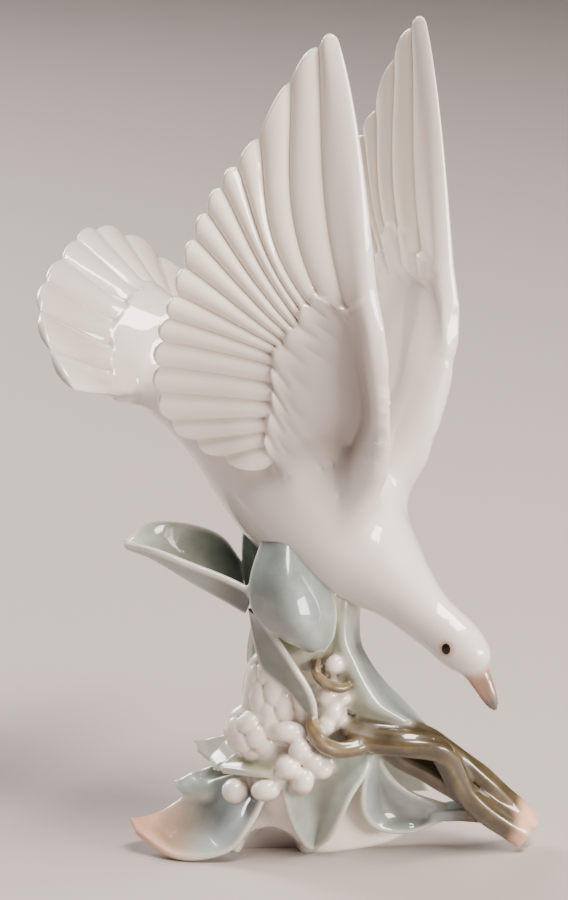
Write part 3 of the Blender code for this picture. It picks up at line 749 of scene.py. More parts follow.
def point_normals(points, triangles):
    """Normal of each point: the sum of the cross products of the triangles round it."""
    corners = points[triangles]
    across = np.cross(corners[:, 1] - corners[:, 0], corners[:, 2] - corners[:, 0])
    flat = triangles.ravel()
    spread = np.repeat(across, 3, axis=0)
    sums = [np.bincount(flat, weights=column, minlength=len(points)) for column in spread.T]
    return unit(np.stack(sums, axis=-1))


def hollow_shade(points, edges, triangles):
    """Painted shade of each point, 0 to 1: its depth in a hollow, how far its surroundings' mean
    stands over it.
    """
    mean = points
    for _ in range(SHADE_EVENING):
        mean = neighbour_mean(mean, edges, len(points))
    depth = ((mean - points) * point_normals(points, triangles)).sum(-1)
    return smooth_step(0.0, SHADE_DEPTH, depth)


def evened(values, pull, edges, rounds):
    """Values moved towards their neighbours' mean by 0.6 of the pull, a number of times."""
    for _ in range(rounds):
        values = values + 0.6 * pull * (neighbour_mean(values, edges, len(values)) - values)
    return values


def filled(points, pull, edges, triangles, rounds):
    """Points moved to their neighbours' mean: fully outward, little inward, partly sideways."""
    for turn in range(rounds):
        if turn % 6 == 0:
            normals = point_normals(points, triangles)
        move = neighbour_mean(points, edges, len(points)) - points
        outward = (move * normals).sum(-1, keepdims=True)
        sliding = move - outward * normals
        outward = np.where(outward > 0.0, outward, INWARD_SHARE * outward)
        points = points + 0.75 * pull * (outward * normals + SLIDING_SHARE * sliding)
    return points


def join_and_round(name, shapes, radius, rounds, hollow_shade_paint):
    """Union of closed shapes into one skin, with its joins rounded over a radius in metres."""
    tools = bpy.data.collections.new(name + "_parts")
    for shape in shapes[1:]:
        tools.objects.link(shape)
    mesh = boolean(shapes[0], "UNION", operand_type="COLLECTION", collection=tools)
    for shape in shapes:
        bpy.data.objects.remove(shape)
    bpy.data.collections.remove(tools)
    close_skin(mesh)

    points = rows_of(mesh.vertices, "co", 3)
    edges = rows_of(mesh.edges, "vertices", 2, np.int64)
    corners = triangle_corners(mesh)
    give = rows_of(mesh.attributes["give"].data, "value", 1)
    paint = rows_of(mesh.attributes["paint"].data, "color", 4)
    seam = give[:, 0] < 0.01
    values = np.column_stack([paint, give])
    fill_gaps(values, seam, edges)
    paint = values[:, :4]
    near = smooth_step(0.0, 1.0, nearness(points, edges, seam, radius)) * values[:, 4]

    triangles = corners[(near[corners] > 0.0).any(axis=1)]
    close = edges[(near[edges] > 0.0).any(axis=1)]
    kept = np.unique(np.concatenate([close.ravel(), triangles.ravel()]))
    close = np.searchsorted(kept, close)
    triangles = np.searchsorted(kept, triangles)
    pull = near[kept, None]
    at_join = np.clip(3.0 * pull - 2.0, 0.0, 1.0)
    moved = evened(points[kept], at_join, close, FIRST_EVENING)
    points[kept] = filled(moved, pull, close, triangles, rounds)
    paint[kept] = evened(paint[kept], pull, close, PAINT_EVENING)
    # Painted shade: the paint is darkened in hollows and creases.
    paint = painted(paint, paint * hollow_shade_paint, hollow_shade(points, edges, corners))
    mesh.vertices.foreach_set("co", points.ravel())
    mesh.attributes["paint"].data.foreach_set("color", paint.astype(np.float32).ravel())
    mesh.update()
    mesh.shade_smooth()
    mesh.name = name
    print(name, len(mesh.polygons), "triangles,", int(seam.sum()), "points on the joins")
    return add_object(name, mesh)


BIRD_JOIN_RADIUS = 0.0125
BIRD_JOIN_ROUNDS = 150
bird = join_and_round("bird_skin", bird_shapes, BIRD_JOIN_RADIUS, BIRD_JOIN_ROUNDS, HOLLOW_SHADE_WARM)

# %% [markdown]
# Each leaf is a paint and a net of points: rails that run from root to tip, one for each rim and
# one or two between. The middle rail sets how deeply the leaf is cupped. A leaf is sage green with
# a paler rim, partly where the glaze draws thin over the edge and partly a painted highlight, and
# one long leaf turns peach at its tip. The upper left leaf and the riser under it are painted deep
# sage, partly as painted shade. The small tips at the left are crumpled, as soft clay is when it is
# pressed on with a tool.

# %% Leaves
LEAF_HALF = 1.35
LEAVES = {
    "upper_left": (SAGE, [
        [(-14.6, 0, 104.1), (-22.2, 5, 112.7), (-33.7, 8, 116.4), (-47.9, 5, 117.5),
         (-56.8, -5, 113.5)],
        [(-13.5, -8, 88.9), (-20.7, -6, 93.1), (-32.1, -5, 99.5), (-45.9, -5, 108),
         (-56.5, -6, 112.3)],
        [(-11.3, -21, 99.8), (-21.1, -19, 104), (-33.1, -17, 108.2), (-45.5, -14, 112.2),
         (-56.7, -8, 113.5)],
    ]),
    # The riser under the upper left leaf is painted deep sage, partly as painted shade.
    "riser": (DEEP_SAGE_AND_SHADE, [
        [(-14.3, 5, 117.9), (-14.7, 3, 109.9), (-14.3, -1, 101.7), (-12.1, -7, 91.6)],
        [(-7.8, 0, 118.1), (-9.2, -4, 110.6), (-9.6, -8, 101.8), (-9.2, -12, 92.9)],
        [(0.4, -4, 117.3), (-2.8, -8, 111), (-5, -13, 103.1), (-6.4, -17, 94.3)],
    ]),
    "belly": (SAGE_GREY, [
        [(-7.8, -12, 115.6), (-12, -19, 102.9), (-10.9, -22, 92.8), (-2.8, -25, 85.2),
         (9.5, -24, 78.4)],
        [(1.4, -20, 115.9), (1.4, -28.5, 104.8), (2.8, -32, 94.7), (6.3, -31, 85.7),
         (11.6, -26, 79)],
        [(10.6, -12, 110.2), (16.6, -18, 99), (18.3, -21, 90.7), (17.3, -23, 83.2),
         (13.7, -24, 78)],
    ]),
    "right_drape": (SAGE_BLUE, [
        [(19.1, -13, 97.6), (17.7, -15, 81.6), (17.4, -15, 71.7), (19.2, -16, 61.6),
         (24.2, -17, 54.5), (35.9, -18, 50.4)],
        [(21.9, -16, 98.4), (20.8, -20, 82), (24, -21, 73.1), (27.6, -22, 65.3),
         (32.9, -22, 57.5), (43.7, -20, 51)],
        [(24.1, -10, 96.8), (23.8, -13, 80), (27.4, -14, 71), (32, -15, 63.2), (38.1, -16, 55.7),
         (49.9, -17, 45.6)],
        [(26.7, -5, 95.4), (26.8, -8, 78.5), (30.7, -9, 69.2), (36.4, -10, 62),
         (43.2, -11, 55.6), (56.8, -14, 40.1)],
    ]),
    "left_narrow": (SAGE_DARK, [
        [(-12, -14, 91.3), (-10.6, -18, 80.7), (-7.8, -20, 71), (0, -22, 65.3), (6.4, -23, 57.1),
         (10.3, -24, 51.5)],
        [(-10.6, -17, 91), (-7.4, -21, 81.5), (-2.1, -23, 72.2), (4.2, -25, 65.8),
         (8.5, -25, 59.2), (11, -25, 52.9)],
        [(-8.8, -22, 91.3), (-2.8, -26, 84.4), (4.2, -29, 74), (8.8, -29, 66.3),
         (10.9, -28, 60.5), (11.7, -26, 54.3)],
    ]),
    "front_left": (SAGE_BLUE, [
        [(-4.3, -10, 30.6), (-21.3, -3, 25.3), (-31.2, 0, 20.1), (-43.9, -2, 12),
         (-55.5, -10, 11)],
        [(-6.4, -16, 25.8), (-16.5, -14, 17.6), (-28.5, -11, 9), (-41.8, -12, 5),
         (-54.3, -13, 9.8)],
        [(-7.8, -25, 23.6), (-12.1, -27, 14.5), (-20.7, -26, 4.2), (-37.9, -24, 1.4),
         (-53.1, -16, 8)],
    ]),
    "front_middle": (SAGE, [
        [(-1.1, -22, 31.5), (-0.4, -26, 24.7), (2.5, -23, 13.5), (6.8, -19, 4.6),
         (10.1, -15.5, 1.4)],
        [(13.5, -23, 40.8), (13.5, -22, 31.9), (13.6, -20, 22.6), (12.2, -17, 10.3),
         (10.4, -14.5, 1.4)],
        [(31.7, -19, 40.3), (29.8, -24, 33.7), (24.1, -26, 24.7), (17.5, -21, 8.7),
         (11.2, -15.5, 1.4)],
    ]),
    "right_cup": (SAGE_BLUE, [
        [(33.1, -19, 41), (29.5, -21, 35.3), (27.5, -20, 25.6), (28.3, -17, 15.2),
         (34.2, -14, 8.2), (46.1, -11, 6.4), (59.8, -10, 11.7)],
        [(33.5, -17, 39.6), (32.9, -15, 32.6), (33.8, -11, 23.8), (36.8, -9, 16.7),
         (42.2, -8, 12.2), (50.5, -8, 11.4), (60.6, -9, 13.6)],
        [(34.2, -17, 39.2), (36.1, -15, 33.3), (39.1, -13, 28.2), (42.7, -12, 24.5),
         (47.8, -11, 21.1), (53.3, -10, 18.9), (61.2, -10, 16.2)],
    ]),
    "oval": (SAGE_YELLOW, [
        [(2.1, -19, 43.2), (-7.1, -14, 41.6), (-16.1, -11, 37.3), (-23, -11, 30.9)],
        [(2.5, -22, 38.2), (-7.1, -20, 36.8), (-15.4, -16, 34.1), (-23, -12, 30.9)],
        [(2.1, -25, 34), (-4.3, -27, 32.8), (-12.1, -24, 32.6), (-22.2, -15, 31.1)],
    ]),
    "curled": (LEAF_RIM, [
        [(-7.9, -7, 46.9), (-15.9, -2, 42.3), (-22.8, 1, 35.3), (-26.1, 0, 31.1),
         (-25.2, -5, 28.2)],
        [(-7.2, -12, 43.2), (-14.4, -8, 39.7), (-20.2, -5, 34.6), (-23.8, -4, 30.9),
         (-24.5, -6, 28.5)],
        [(-7.8, -18, 39.9), (-13.6, -15, 36.3), (-18.6, -12, 33.1), (-22.3, -9, 30.3),
         (-23.7, -8, 28.8)],
    ]),
    "tip_low": (SAGE, [
        [(-16, 4, 28.3), (-29.5, 6, 25), (-40, 5, 20.7)],
        [(-16, 2, 22.8), (-29, 0, 21.6), (-38.9, 3, 18.7)],
        [(-15.9, -4, 19.5), (-28.2, -6, 18.3), (-35.6, 0, 17)],
    ]),
    "tip_mid": (LEAF_RIM, [
        [(-16, 6, 39.8), (-26.2, 9, 35.8), (-32.8, 9, 34.7)],
        [(-15.9, 3, 36.2), (-25.8, 5, 32.5), (-32, 8, 33.8)],
        [(-15.9, 0, 31.9), (-25.7, 2, 28.9), (-31.3, 6, 31.4)],
    ]),
    "tip_top": (LEAF_RIM, [
        [(-7.9, -6, 53.3), (-14, -4, 50.1), (-20.2, -2, 46.8)],
        [(-7.9, -9, 50.5), (-14, -6, 47.3), (-19.8, -3, 46.4)],
        [(-7.9, -12, 47), (-14, -9, 45.3), (-19.4, -5, 46.3)],
    ]),
    "back_right": (SAGE, [
        [(20, 4, 60), (34, 8, 42), (48, 12, 26), (54, 18, 13)],
        [(14, 10, 58), (22, 17, 42), (30, 22, 26), (44, 22, 11)],
        [(8, 10, 56), (11, 21, 40), (17, 27, 24), (36, 24, 10)],
    ]),
    "back_middle": (SAGE_BLUE, [
        [(14, 8, 100), (15.5, 12, 82), (11, 15, 64), (-6, 19, 48)],
        [(4, 14, 98), (3, 19, 82), (-1, 21, 64), (-8, 19.5, 47)],
        [(-8, 8, 98), (-11, 11, 82), (-13.5, 14, 66), (-11, 18, 48)],
    ]),
    "back_left": (SAGE, [
        [(4, 18, 36), (-2, 27, 24), (-12, 32, 11), (-29, 28, 3)],
        [(-2, 14, 34), (-11, 22, 22), (-20, 26, 9.5), (-30, 27, 3)],
        [(-8, 8, 32), (-20, 13, 22), (-28, 18, 12), (-31, 26, 3.5)],
    ]),
}
LEAF_ROWS = 54
LEAF_COLUMNS = 26
LEAF_ROUND = 1.6
CRUMPLE = 0.55


def make_leaf(name, colour, rails):
    """Leaf blade: the net's surface, thick but for its round rims; sines crumple the small tips."""
    middle = net_surface(rails, crowded(LEAF_ROWS), crowded(LEAF_COLUMNS))
    across = arc_length(middle, 1)
    along = arc_length(middle, 0)
    from_rim = np.minimum(across, across[:, -1:] - across)
    from_rim = np.minimum(from_rim, along[-1:] - along)
    rounding = round_rim(from_rim, LEAF_ROUND)
    half = np.maximum(LEAF_HALF * rounding, 0.12)[..., None]
    normal = grid_normals(middle)
    if name.startswith("tip") or name == "curled":
        crumple = np.sin(across / 2.1 + 0.5 * along) * np.sin(along / 3.4 + 1.0)
        middle = middle + normal * (CRUMPLE * crumple * rounding)[..., None]
    # Paler rim: partly the glaze drawn thin over the edge, partly a painted highlight along it.
    pale_rim_and_highlight = 1.0 - smooth_step(0.3, 2.2, from_rim)
    paint = painted(colour, LEAF_RIM, 0.85 * pale_rim_and_highlight)
    if name == "front_left":
        paint = painted(paint, PEACH_PALE, 0.75 * smooth_step(-24.0, -44.0, middle[..., 0]))
        paint = painted(paint, PEACH, smooth_step(-40.0, -52.0, middle[..., 0]))
    if name == "upper_left":
        # Painted shade over the leaf's deeper paint: darker inside towards the root.
        inner = smooth_step(-31.0, -15.0, middle[..., 0])
        paint = painted(paint, DEEP_SAGE_AND_SHADE, inner * (1.0 - pale_rim_and_highlight))
    if name == "right_drape":
        inner = np.linspace(1.0, 0.0, LEAF_COLUMNS)[None, :] * np.ones_like(from_rim)
        paint = painted(paint, SAGE_YELLOW, 0.7 * smooth_step(0.45, 0.75, inner) * (1.0 - pale_rim_and_highlight))
    return thin_form(name, middle + normal * half, middle - normal * half, paint, paint)


base_shapes = [make_leaf(name, *leaf) for name, leaf in LEAVES.items()]
print("leaves", len(base_shapes), "each of", LEAF_ROWS * LEAF_COLUMNS * 2, "points")

# %% [markdown]
# The foot and stem are a stack of turned ellipses. They show between the leaves as plain white
# porcelain, with cream and olive shadows higher up. A low round bar cuts the arch under the front.

# %% Foot and stem
CORE_KEYS = [
    (0, 9, 4, 37, 19, 14), (9, 9, 3, 34, 18.5, 14), (20, 8, 1, 27, 18, 12),
    (34, 8, -2, 22, 17, 8), (52, 8, -4, 18.5, 15, 0), (72, 7.5, -5, 16.5, 14.5, 0),
    (92, 9, -4, 19, 16.5, -10), (108, 8, 0, 20, 15, -20),
]
CORE_RINGS = 90
CORE_SIDES = 96
ARCH_MIDDLE = (-5.0, -9.0)
ARCH_DEPTH = 30.0
ARCH_HALF_WIDTH = 9.8
ARCH_HEIGHT = 8.8


def make_core(name):
    """Foot and stem: at each height an ellipse of cosine and sine, turned about the upright."""
    height = np.linspace(CORE_KEYS[0][0], CORE_KEYS[-1][0], CORE_RINGS)
    table = curve(CORE_KEYS, height)
    turn = np.radians(table[:, 4])[:, None]
    angle = full_turn(CORE_SIDES)[None, :]
    wide = table[:, 2, None] * np.cos(angle)
    deep = table[:, 3, None] * np.sin(angle)
    x = table[:, 0, None] + wide * np.cos(turn) - deep * np.sin(turn)
    y = table[:, 1, None] + wide * np.sin(turn) + deep * np.cos(turn)
    rings = np.stack([x, y, np.broadcast_to(height[:, None], x.shape)], axis=-1)
    higher = smooth_step(38.0, 60.0, rings[..., 2])
    paint = painted(BRIGHT_WHITE, CREAM, higher)
    olive = higher * smooth_step(2.0, 12.0, rings[..., 0]) * smooth_step(84.0, 74.0, rings[..., 2])
    paint = painted(paint, OLIVE_PALE, 0.75 * olive)
    paint = painted(paint, SAGE_YELLOW, 0.8 * smooth_step(72.0, 82.0, rings[..., 2]))
    return ring_form(name, rings, paint)


def make_arch(name):
    """Bar that is cut from the foot: an ellipse of cosine across and sine up, carried back."""
    angle = full_turn(64)
    depth = np.array([ARCH_MIDDLE[1] - ARCH_DEPTH, ARCH_MIDDLE[1]])[:, None]
    x = ARCH_MIDDLE[0] + ARCH_HALF_WIDTH * np.cos(angle) + 0.0 * depth
    z = ARCH_HEIGHT * np.sin(angle) + 0.0 * depth
    rings = np.stack([x, depth + 0.0 * x, z], axis=-1)
    return ring_form(name, rings, flat_paint(rings.shape[:2], WHITE))


core = make_core("core")
arch = make_arch("arch")
core.data = boolean(core, "DIFFERENCE", object=arch)
core.modifiers.clear()
bpy.data.objects.remove(arch)
base_shapes.insert(0, core)
print("foot and stem", len(core.data.polygons), "faces")

# %% [markdown]
# The branch is several limbs that lie against each other and run down to a broken end on the
# table. Each limb is a ring carried along a curve, with shallow grooves along its grain that wander
# a little, and the broken end shows the peach of the bare wood.

# %% Branch
BRANCH_RADIUS = 4.9
LIMBS = {
    "front_limb": [
        (21.7, -20, 46.9, 0.8), (31.2, -22, 44.9, 0.9), (41.1, -24, 44.1, 0.95),
        (51.1, -24, 43, 0.95), (56.4, -23, 39.7, 0.9), (60.6, -20, 31.6, 0.85),
        (65.5, -17, 22.8, 0.9), (74, -14, 15, 0.95), (87, -10, 5.2, 1.05)],
    "rear_limb": [
        (21, -16, 47.9, 0.8), (31.3, -18, 48.9, 0.85), (41.3, -18, 47.4, 0.85),
        (50.6, -17, 44.5, 0.8), (57.9, -15, 38.6, 0.8), (65.2, -13, 32.7, 0.8),
        (72.9, -11, 25.3, 0.85), (80.4, -8, 17.1, 0.95), (89, -4.5, 6.2, 1.1)],
    "under_limb": [
        (34.3, -16, 41.5, 0.8), (41.5, -15, 36.7, 0.9), (49.4, -15, 32.2, 0.9),
        (56.6, -15, 27, 0.75), (63.8, -14, 21, 0.6)],
    "low_limb": [
        (82, -11, 8, 0.85), (72.8, -10, 12.8, 0.72), (65.6, -9, 13.6, 0.72),
        (59.1, -9, 13.6, 0.7), (52.7, -8, 12.5, 0.55)],
    "loop": [
        (9.9, -25, 54.8, 0.42), (10.6, -27, 50.2, 0.52), (13.4, -28, 45.7, 0.58),
        (19.1, -27, 42.8, 0.6), (25.9, -25, 42.9, 0.58), (32.3, -22, 44.6, 0.45)],
    "cup": [
        (11.7, -20, 73.9, 0.3), (11.6, -24, 69.9, 0.36), (15.2, -25, 66.6, 0.4),
        (20.1, -24, 64.8, 0.38), (24.1, -21, 65.4, 0.28)],
}
LIMB_RINGS = 90
LIMB_SIDES = 28
GRAIN_DEPTH = 0.065
FINE_GRAIN_DEPTH = 0.025
KNOT_DEPTH = 0.07


def make_limb(name, rows):
    """Limb: rings along a curve, the radius waved by sines round it and along it."""
    at = np.linspace(0.0, 1.0, LIMB_RINGS)
    table = curve(evenly(rows), at)
    middle = table[:, :3]
    run = arc_length(middle[:, None], 0)
    angle = full_turn(LIMB_SIDES)[None, :]
    grain = np.sin(5.0 * angle + 1.4 * np.sin(run / 9.0)) * GRAIN_DEPTH
    grain = grain + np.sin(9.0 * angle + 2.0 * np.sin(run / 13.0) + 1.0) * FINE_GRAIN_DEPTH
    knots = KNOT_DEPTH * np.sin(run / 5.3 + 1.0) * np.sin(angle + run / 7.0)
    end = 0.55 + 0.45 * round_rim(np.minimum(run, run[-1] - run), 1.5)
    radius = table[:, 3, None] * BRANCH_RADIUS * (1.0 + grain + knots) * end
    rings = path_rings(middle, radius, LIMB_SIDES, steep=1.0)
    hollow = smooth_step(0.02, -0.05, grain + knots)
    pale = OLIVE_PALE if name in ("loop", "cup") else OLIVE
    paint = painted(pale, OLIVE_DEEP if pale is OLIVE else OLIVE, 0.7 * hollow)
    bare = smooth_step(80.0, 86.0, rings[..., 0] - 0.35 * (rings[..., 2] - 10.0))
    paint = painted(paint, PEACH_PALE, bare)
    if name == "low_limb":
        paint = painted(paint, SAGE_BLUE, smooth_step(68.0, 56.0, rings[..., 0]))
    return ring_form(name, rings, paint)


base_shapes += [make_limb(name, rows) for name, rows in LIMBS.items()]
print("limbs", len(LIMBS))

# %% [markdown]
# The buds are small ovals pressed into the clay in a loose cluster, each painted darker, in pale
# olive, towards its bottom. Egg-shaped heads of small florets fill the left side of the stem.

# %% Buds and flower
BUD_RADIUS = 4.1
BUDS = [
    (-17.5, -19, 24.9, 1.15, 1.15, 40), (-6.4, -25.5, 27.5, 1, 1.3, 10),
    (-8.6, -14.5, 46.5, 0.9, 1.1, 10), (1.6, -24, 48.6, 0.95, 1.5, -5),
    (5.7, -26, 42.4, 1, 1.15, 60), (1.4, -27, 36.3, 1.05, 1.15, 20),
    (6.7, -27, 30.9, 0.95, 1.3, 80), (13.1, -25.5, 35, 0.9, 1, 0),
    (9.8, -25.5, 38.6, 0.9, 1, 30), (-2, -23, 31, 0.9, 1.1, 0), (17.7, -20, 72, 0.8, 1, 60),
    (14.9, -21, 61.2, 0.85, 1.15, 70), (19.6, -20.5, 59.6, 0.8, 1, 20),
    (17.2, -22.5, 54.8, 0.8, 1.3, 80), (14.8, -23.5, 50.6, 0.8, 1.1, 60),
]
MOUND_MIDDLE = np.array([0.0, -12.0, 33.0])
MOUND_HALF_HEIGHT = 22.0
MOUND_RADIUS = 12.5
FLOWER_HEADS = [
    ((-2.5, -12.0, 60.0), (12.4, 11.4, 17.4), 40),
    ((-8.5, -13.0, 46.0), (13.0, 11.4, 11.0), 32),
    ((16.5, -17.0, 57.0), (6.0, 6.0, 11.0), 16),
]
FLORET_RELIEF = 1.5


def make_oval(name, middle, long_axis, half_length, radius, rings, sides, paint):
    """Oval: rings whose radius is the sine of the angle from its tip."""
    cap = np.linspace(0.0, math.pi, rings + 2)[1:-1, None]
    angle = full_turn(sides)[None, :]
    steady = np.array([0.0, 1.0, 0.0])
    upward = np.cross(long_axis, steady)
    spread = np.cos(angle)[..., None] * steady + np.sin(angle)[..., None] * upward
    points = middle - long_axis * (np.cos(cap) * half_length)[..., None]
    points = points + spread * (np.sin(cap) * radius)[..., None]
    # Each oval is painted darker towards its bottom, in the given colour.
    blush = smooth_step(-0.2, -0.9, (points[..., 2] - middle[2]) / radius)
    return ring_form(name, points, painted(BRIGHT_WHITE, paint, 0.6 * blush))


def make_bud(name, row):
    """Bud: an oval tilted in the plane of x and z."""
    turn = math.radians(row[5])
    axis = np.array([math.cos(turn), 0.0, math.sin(turn)])
    radius = BUD_RADIUS * row[3]
    return make_oval(name, np.array(row[:3]), axis, BUD_RADIUS * row[4], radius, 18, 24, OLIVE_PALE)


def make_flower_head(name, middle, radii, florets):
    """Flower head: an egg covered with florets, each a small dome round its point of a spiral."""
    cap = np.linspace(0.0, math.pi, 92)[1:-1, None]
    angle = full_turn(130)[None, :]
    outward = np.stack([np.sin(cap) * np.cos(angle), np.sin(cap) * np.sin(angle),
                        -np.cos(cap) * np.ones_like(angle)], axis=-1)
    turn = np.arange(florets) * math.pi * (3.0 - math.sqrt(5.0))
    level = 1.0 - (2.0 * np.arange(florets) + 1.0) / florets
    belt = np.sqrt(1.0 - level ** 2)
    centres = np.stack([belt * np.cos(turn), belt * np.sin(turn), level], axis=-1)
    gap = np.linalg.norm((outward[..., None, :] - centres) * np.array([1.0, 1.0, 0.72]), axis=-1)
    size = 2.25 / math.sqrt(florets) * (1.0 + 0.18 * np.sin(2.4 * np.arange(florets)))
    domes = np.sqrt(np.clip(1.0 - (gap / size) ** 2, 0.0, 1.0)).max(-1)
    raised = FLORET_RELIEF * (domes[..., None] - 0.7)
    points = np.array(middle) + outward * (np.array(radii) + raised)
    return ring_form(name, points, painted(CREAM, BRIGHT_WHITE, smooth_step(0.1, 0.7, domes)))


base_shapes += [make_bud("bud_%d" % number, row) for number, row in enumerate(BUDS)]
base_shapes.append(
    make_oval("mound", MOUND_MIDDLE, UP, MOUND_HALF_HEIGHT, MOUND_RADIUS, 30, 48, CREAM))
base_shapes += [make_flower_head("flower_%d" % k, *head) for k, head in enumerate(FLOWER_HEADS)]
BASE_JOIN_RADIUS = 0.0026
BASE_JOIN_ROUNDS = 14
base = join_and_round("leaf_base_skin", base_shapes, BASE_JOIN_RADIUS, BASE_JOIN_ROUNDS, HOLLOW_SHADE_DARK)

# %% [markdown]
# The eyes are small raised beads, dark brown under the glaze, with one on each side of the head.
# They are a dome of rings set on the skin of the head.

# %% Eyes
EYE_RADIUS = 2.2
EYE_PLACE = (62.5, 8.3, 82.0)
EYE_BULGE = 0.9


def make_eye(name, side):
    """Bead: a ball of rings, flattened along its axis out of the head."""
    middle = from_bird(EYE_PLACE[0], side * EYE_PLACE[1], EYE_PLACE[2])
    cap = np.linspace(0.0, math.pi, 20)[1:-1, None]
    angle = full_turn(32)[None, :]
    points = middle - side * RIGHT * (np.cos(cap) * EYE_BULGE)[..., None]
    points = points + FORWARD * (np.sin(cap) * np.cos(angle) * EYE_RADIUS * 0.85)[..., None]
    points = points + UP * (np.sin(cap) * np.sin(angle) * EYE_RADIUS)[..., None]
    return ring_form(name, points, flat_paint(points.shape[:2], WHITE))


eyes = [make_eye("eye_right", 1.0), make_eye("eye_left", -1.0)]
for eye in eyes:
    eye.data.shade_smooth()
print("eyes", [tuple(round(v, 4) for v in eye.data.vertices[0].co) for eye in eyes])

# %% [markdown]
# Glazed porcelain is a white body under a clear glassy coat. The coat gives sharp reflections, and
# the body under it is smooth but scatters light. Paint under the glaze is matt, so it takes the
# same coat. The glaze is never perfectly flat: it has drawn into soft ripples about 15 mm apart.

# %% Finishes


def add_node(tree, kind, inputs=None, **settings):
    """Add a node, set its settings, and set or link its inputs."""
    made = tree.nodes.new(kind)
    for name, value in settings.items():
        setattr(made, name, value)
    for socket, value in (inputs or {}).items():
        if isinstance(value, bpy.types.NodeSocket):
            tree.links.new(value, made.inputs[socket])
        else:
            made.inputs[socket].default_value = value
    return made


def new_finish(name):
    """Empty material with an output."""
    finish = bpy.data.materials.new(name)
    finish.use_nodes = True
    finish.node_tree.nodes.clear()
    return finish, finish.node_tree


def opaque(colour):
    """Shader colour of a paint: its red, green and blue, and a full fourth number."""
    return tuple(colour[:3]) + (1.0,)


def plain_finish(name, colour, settings):
    """Finish of one colour, with the other settings by the names of the shader's own inputs."""
    finish, tree = new_finish(name)
    shader = add_node(tree, "ShaderNodeBsdfPrincipled", {"Base Color": opaque(colour), **settings})
    add_node(tree, "ShaderNodeOutputMaterial", {"Surface": shader.outputs["BSDF"]})
    return finish


# Each scale is one over the size of a ripple or a spot in metres.
RIPPLE = 1.0 / 0.015
MOTTLE = 1.0 / 0.006
EYE_RIM_START = 0.0022
EYE_RIM_END = 0.0036


def glazed(name, eye_rings):
    """Painted porcelain under a clear gloss glaze: mottled paint below, soft ripples on top."""
    finish, tree = new_finish(name)
    place = add_node(tree, "ShaderNodeTexCoord").outputs["Object"]
    paint = add_node(tree, "ShaderNodeAttribute", attribute_name="paint")
    spots = add_node(tree, "ShaderNodeTexNoise",
                     {"Vector": place, "Scale": MOTTLE, "Detail": 4.0, "Roughness": 0.6})
    depth = add_node(tree, "ShaderNodeMapRange",
                     {"Value": spots.outputs["Fac"], "From Min": 0.35, "From Max": 0.65,
                      "To Min": 0.62, "To Max": 1.35})
    darker = add_node(tree, "ShaderNodeVectorMath",
                      {0: paint.outputs["Color"], "Scale": depth.outputs["Result"]},
                      operation="SCALE")
    colour = add_node(tree, "ShaderNodeMix",
                      {"Factor": paint.outputs["Alpha"], 6: paint.outputs["Color"],
                       7: darker.outputs["Vector"]},
                      data_type="RGBA").outputs[2]
    for ring_place in eye_rings:
        gap = add_node(tree, "ShaderNodeVectorMath", {0: place, 1: ring_place},
                       operation="DISTANCE").outputs["Value"]
        blush = add_node(tree, "ShaderNodeMapRange",
                         {"Value": gap, "From Min": EYE_RIM_START, "From Max": EYE_RIM_END,
                          "To Min": 0.75, "To Max": 0.0})
        colour = add_node(tree, "ShaderNodeMix",
                          {"Factor": blush.outputs["Result"], 6: colour, 7: opaque(BEAK_PEACH)},
                          data_type="RGBA").outputs[2]
    ripple = add_node(tree, "ShaderNodeTexNoise",
                      {"Vector": place, "Scale": RIPPLE, "Detail": 1.0, "Roughness": 0.4})
    bump = add_node(tree, "ShaderNodeBump",
                    {"Height": ripple.outputs["Fac"], "Strength": 0.35, "Distance": 0.0004})
    shader = add_node(tree, "ShaderNodeBsdfPrincipled",
                      {"Base Color": colour, "Roughness": 0.38, "IOR": 1.5, "Coat Weight": 1.0,
                       "Coat Roughness": 0.03, "Coat IOR": 1.58, "Normal": bump.outputs["Normal"],
                       "Coat Normal": bump.outputs["Normal"]})
    add_node(tree, "ShaderNodeOutputMaterial", {"Surface": shader.outputs["BSDF"]})
    return finish


eye_rings = [tuple(to_metres(from_bird(EYE_PLACE[0], side * EYE_PLACE[1], EYE_PLACE[2])))
             for side in (1.0, -1.0)]
# White glazed porcelain of the bird, with a peach rim painted round each eye.
porcelain = glazed("glazed_white_porcelain", eye_rings)
# The same porcelain with the painted colours of leaves, branch and buds.
painted_porcelain = glazed("painted_glazed_porcelain", [])
# Dark brown glaze dotted on for the eyes.
brown = plain_finish("brown_eye_glaze", linear("#1d120a"),
                     {"Roughness": 0.3, "Specular IOR Level": 0.15, "Coat Weight": 0.3,
                      "Coat Roughness": 0.03})

pieces = [bird, base] + eyes
for piece, finish in zip(pieces, (porcelain, painted_porcelain, brown, brown)):
    piece.data.materials.clear()
    piece.data.materials.append(finish)
print("finishes", [finish.name for finish in (porcelain, painted_porcelain, brown)])

# %% [markdown]
# All pieces ride on the figure's one body and together stand for its one solid.

# %% Ride on the body
for piece in pieces:
    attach(piece, "root")
    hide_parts("dove_figure")
print("pieces", [piece.name for piece in pieces])

# %% [markdown]
# The stage is a pale floor that curves up into a backdrop far behind, as paper does in a studio.

# %% Floor and backdrop
FLOOR_HALF = 4.0
BACKDROP_DISTANCE = 3.6
BACKDROP_RADIUS = 0.9
BACKDROP_HEIGHT = 4.0

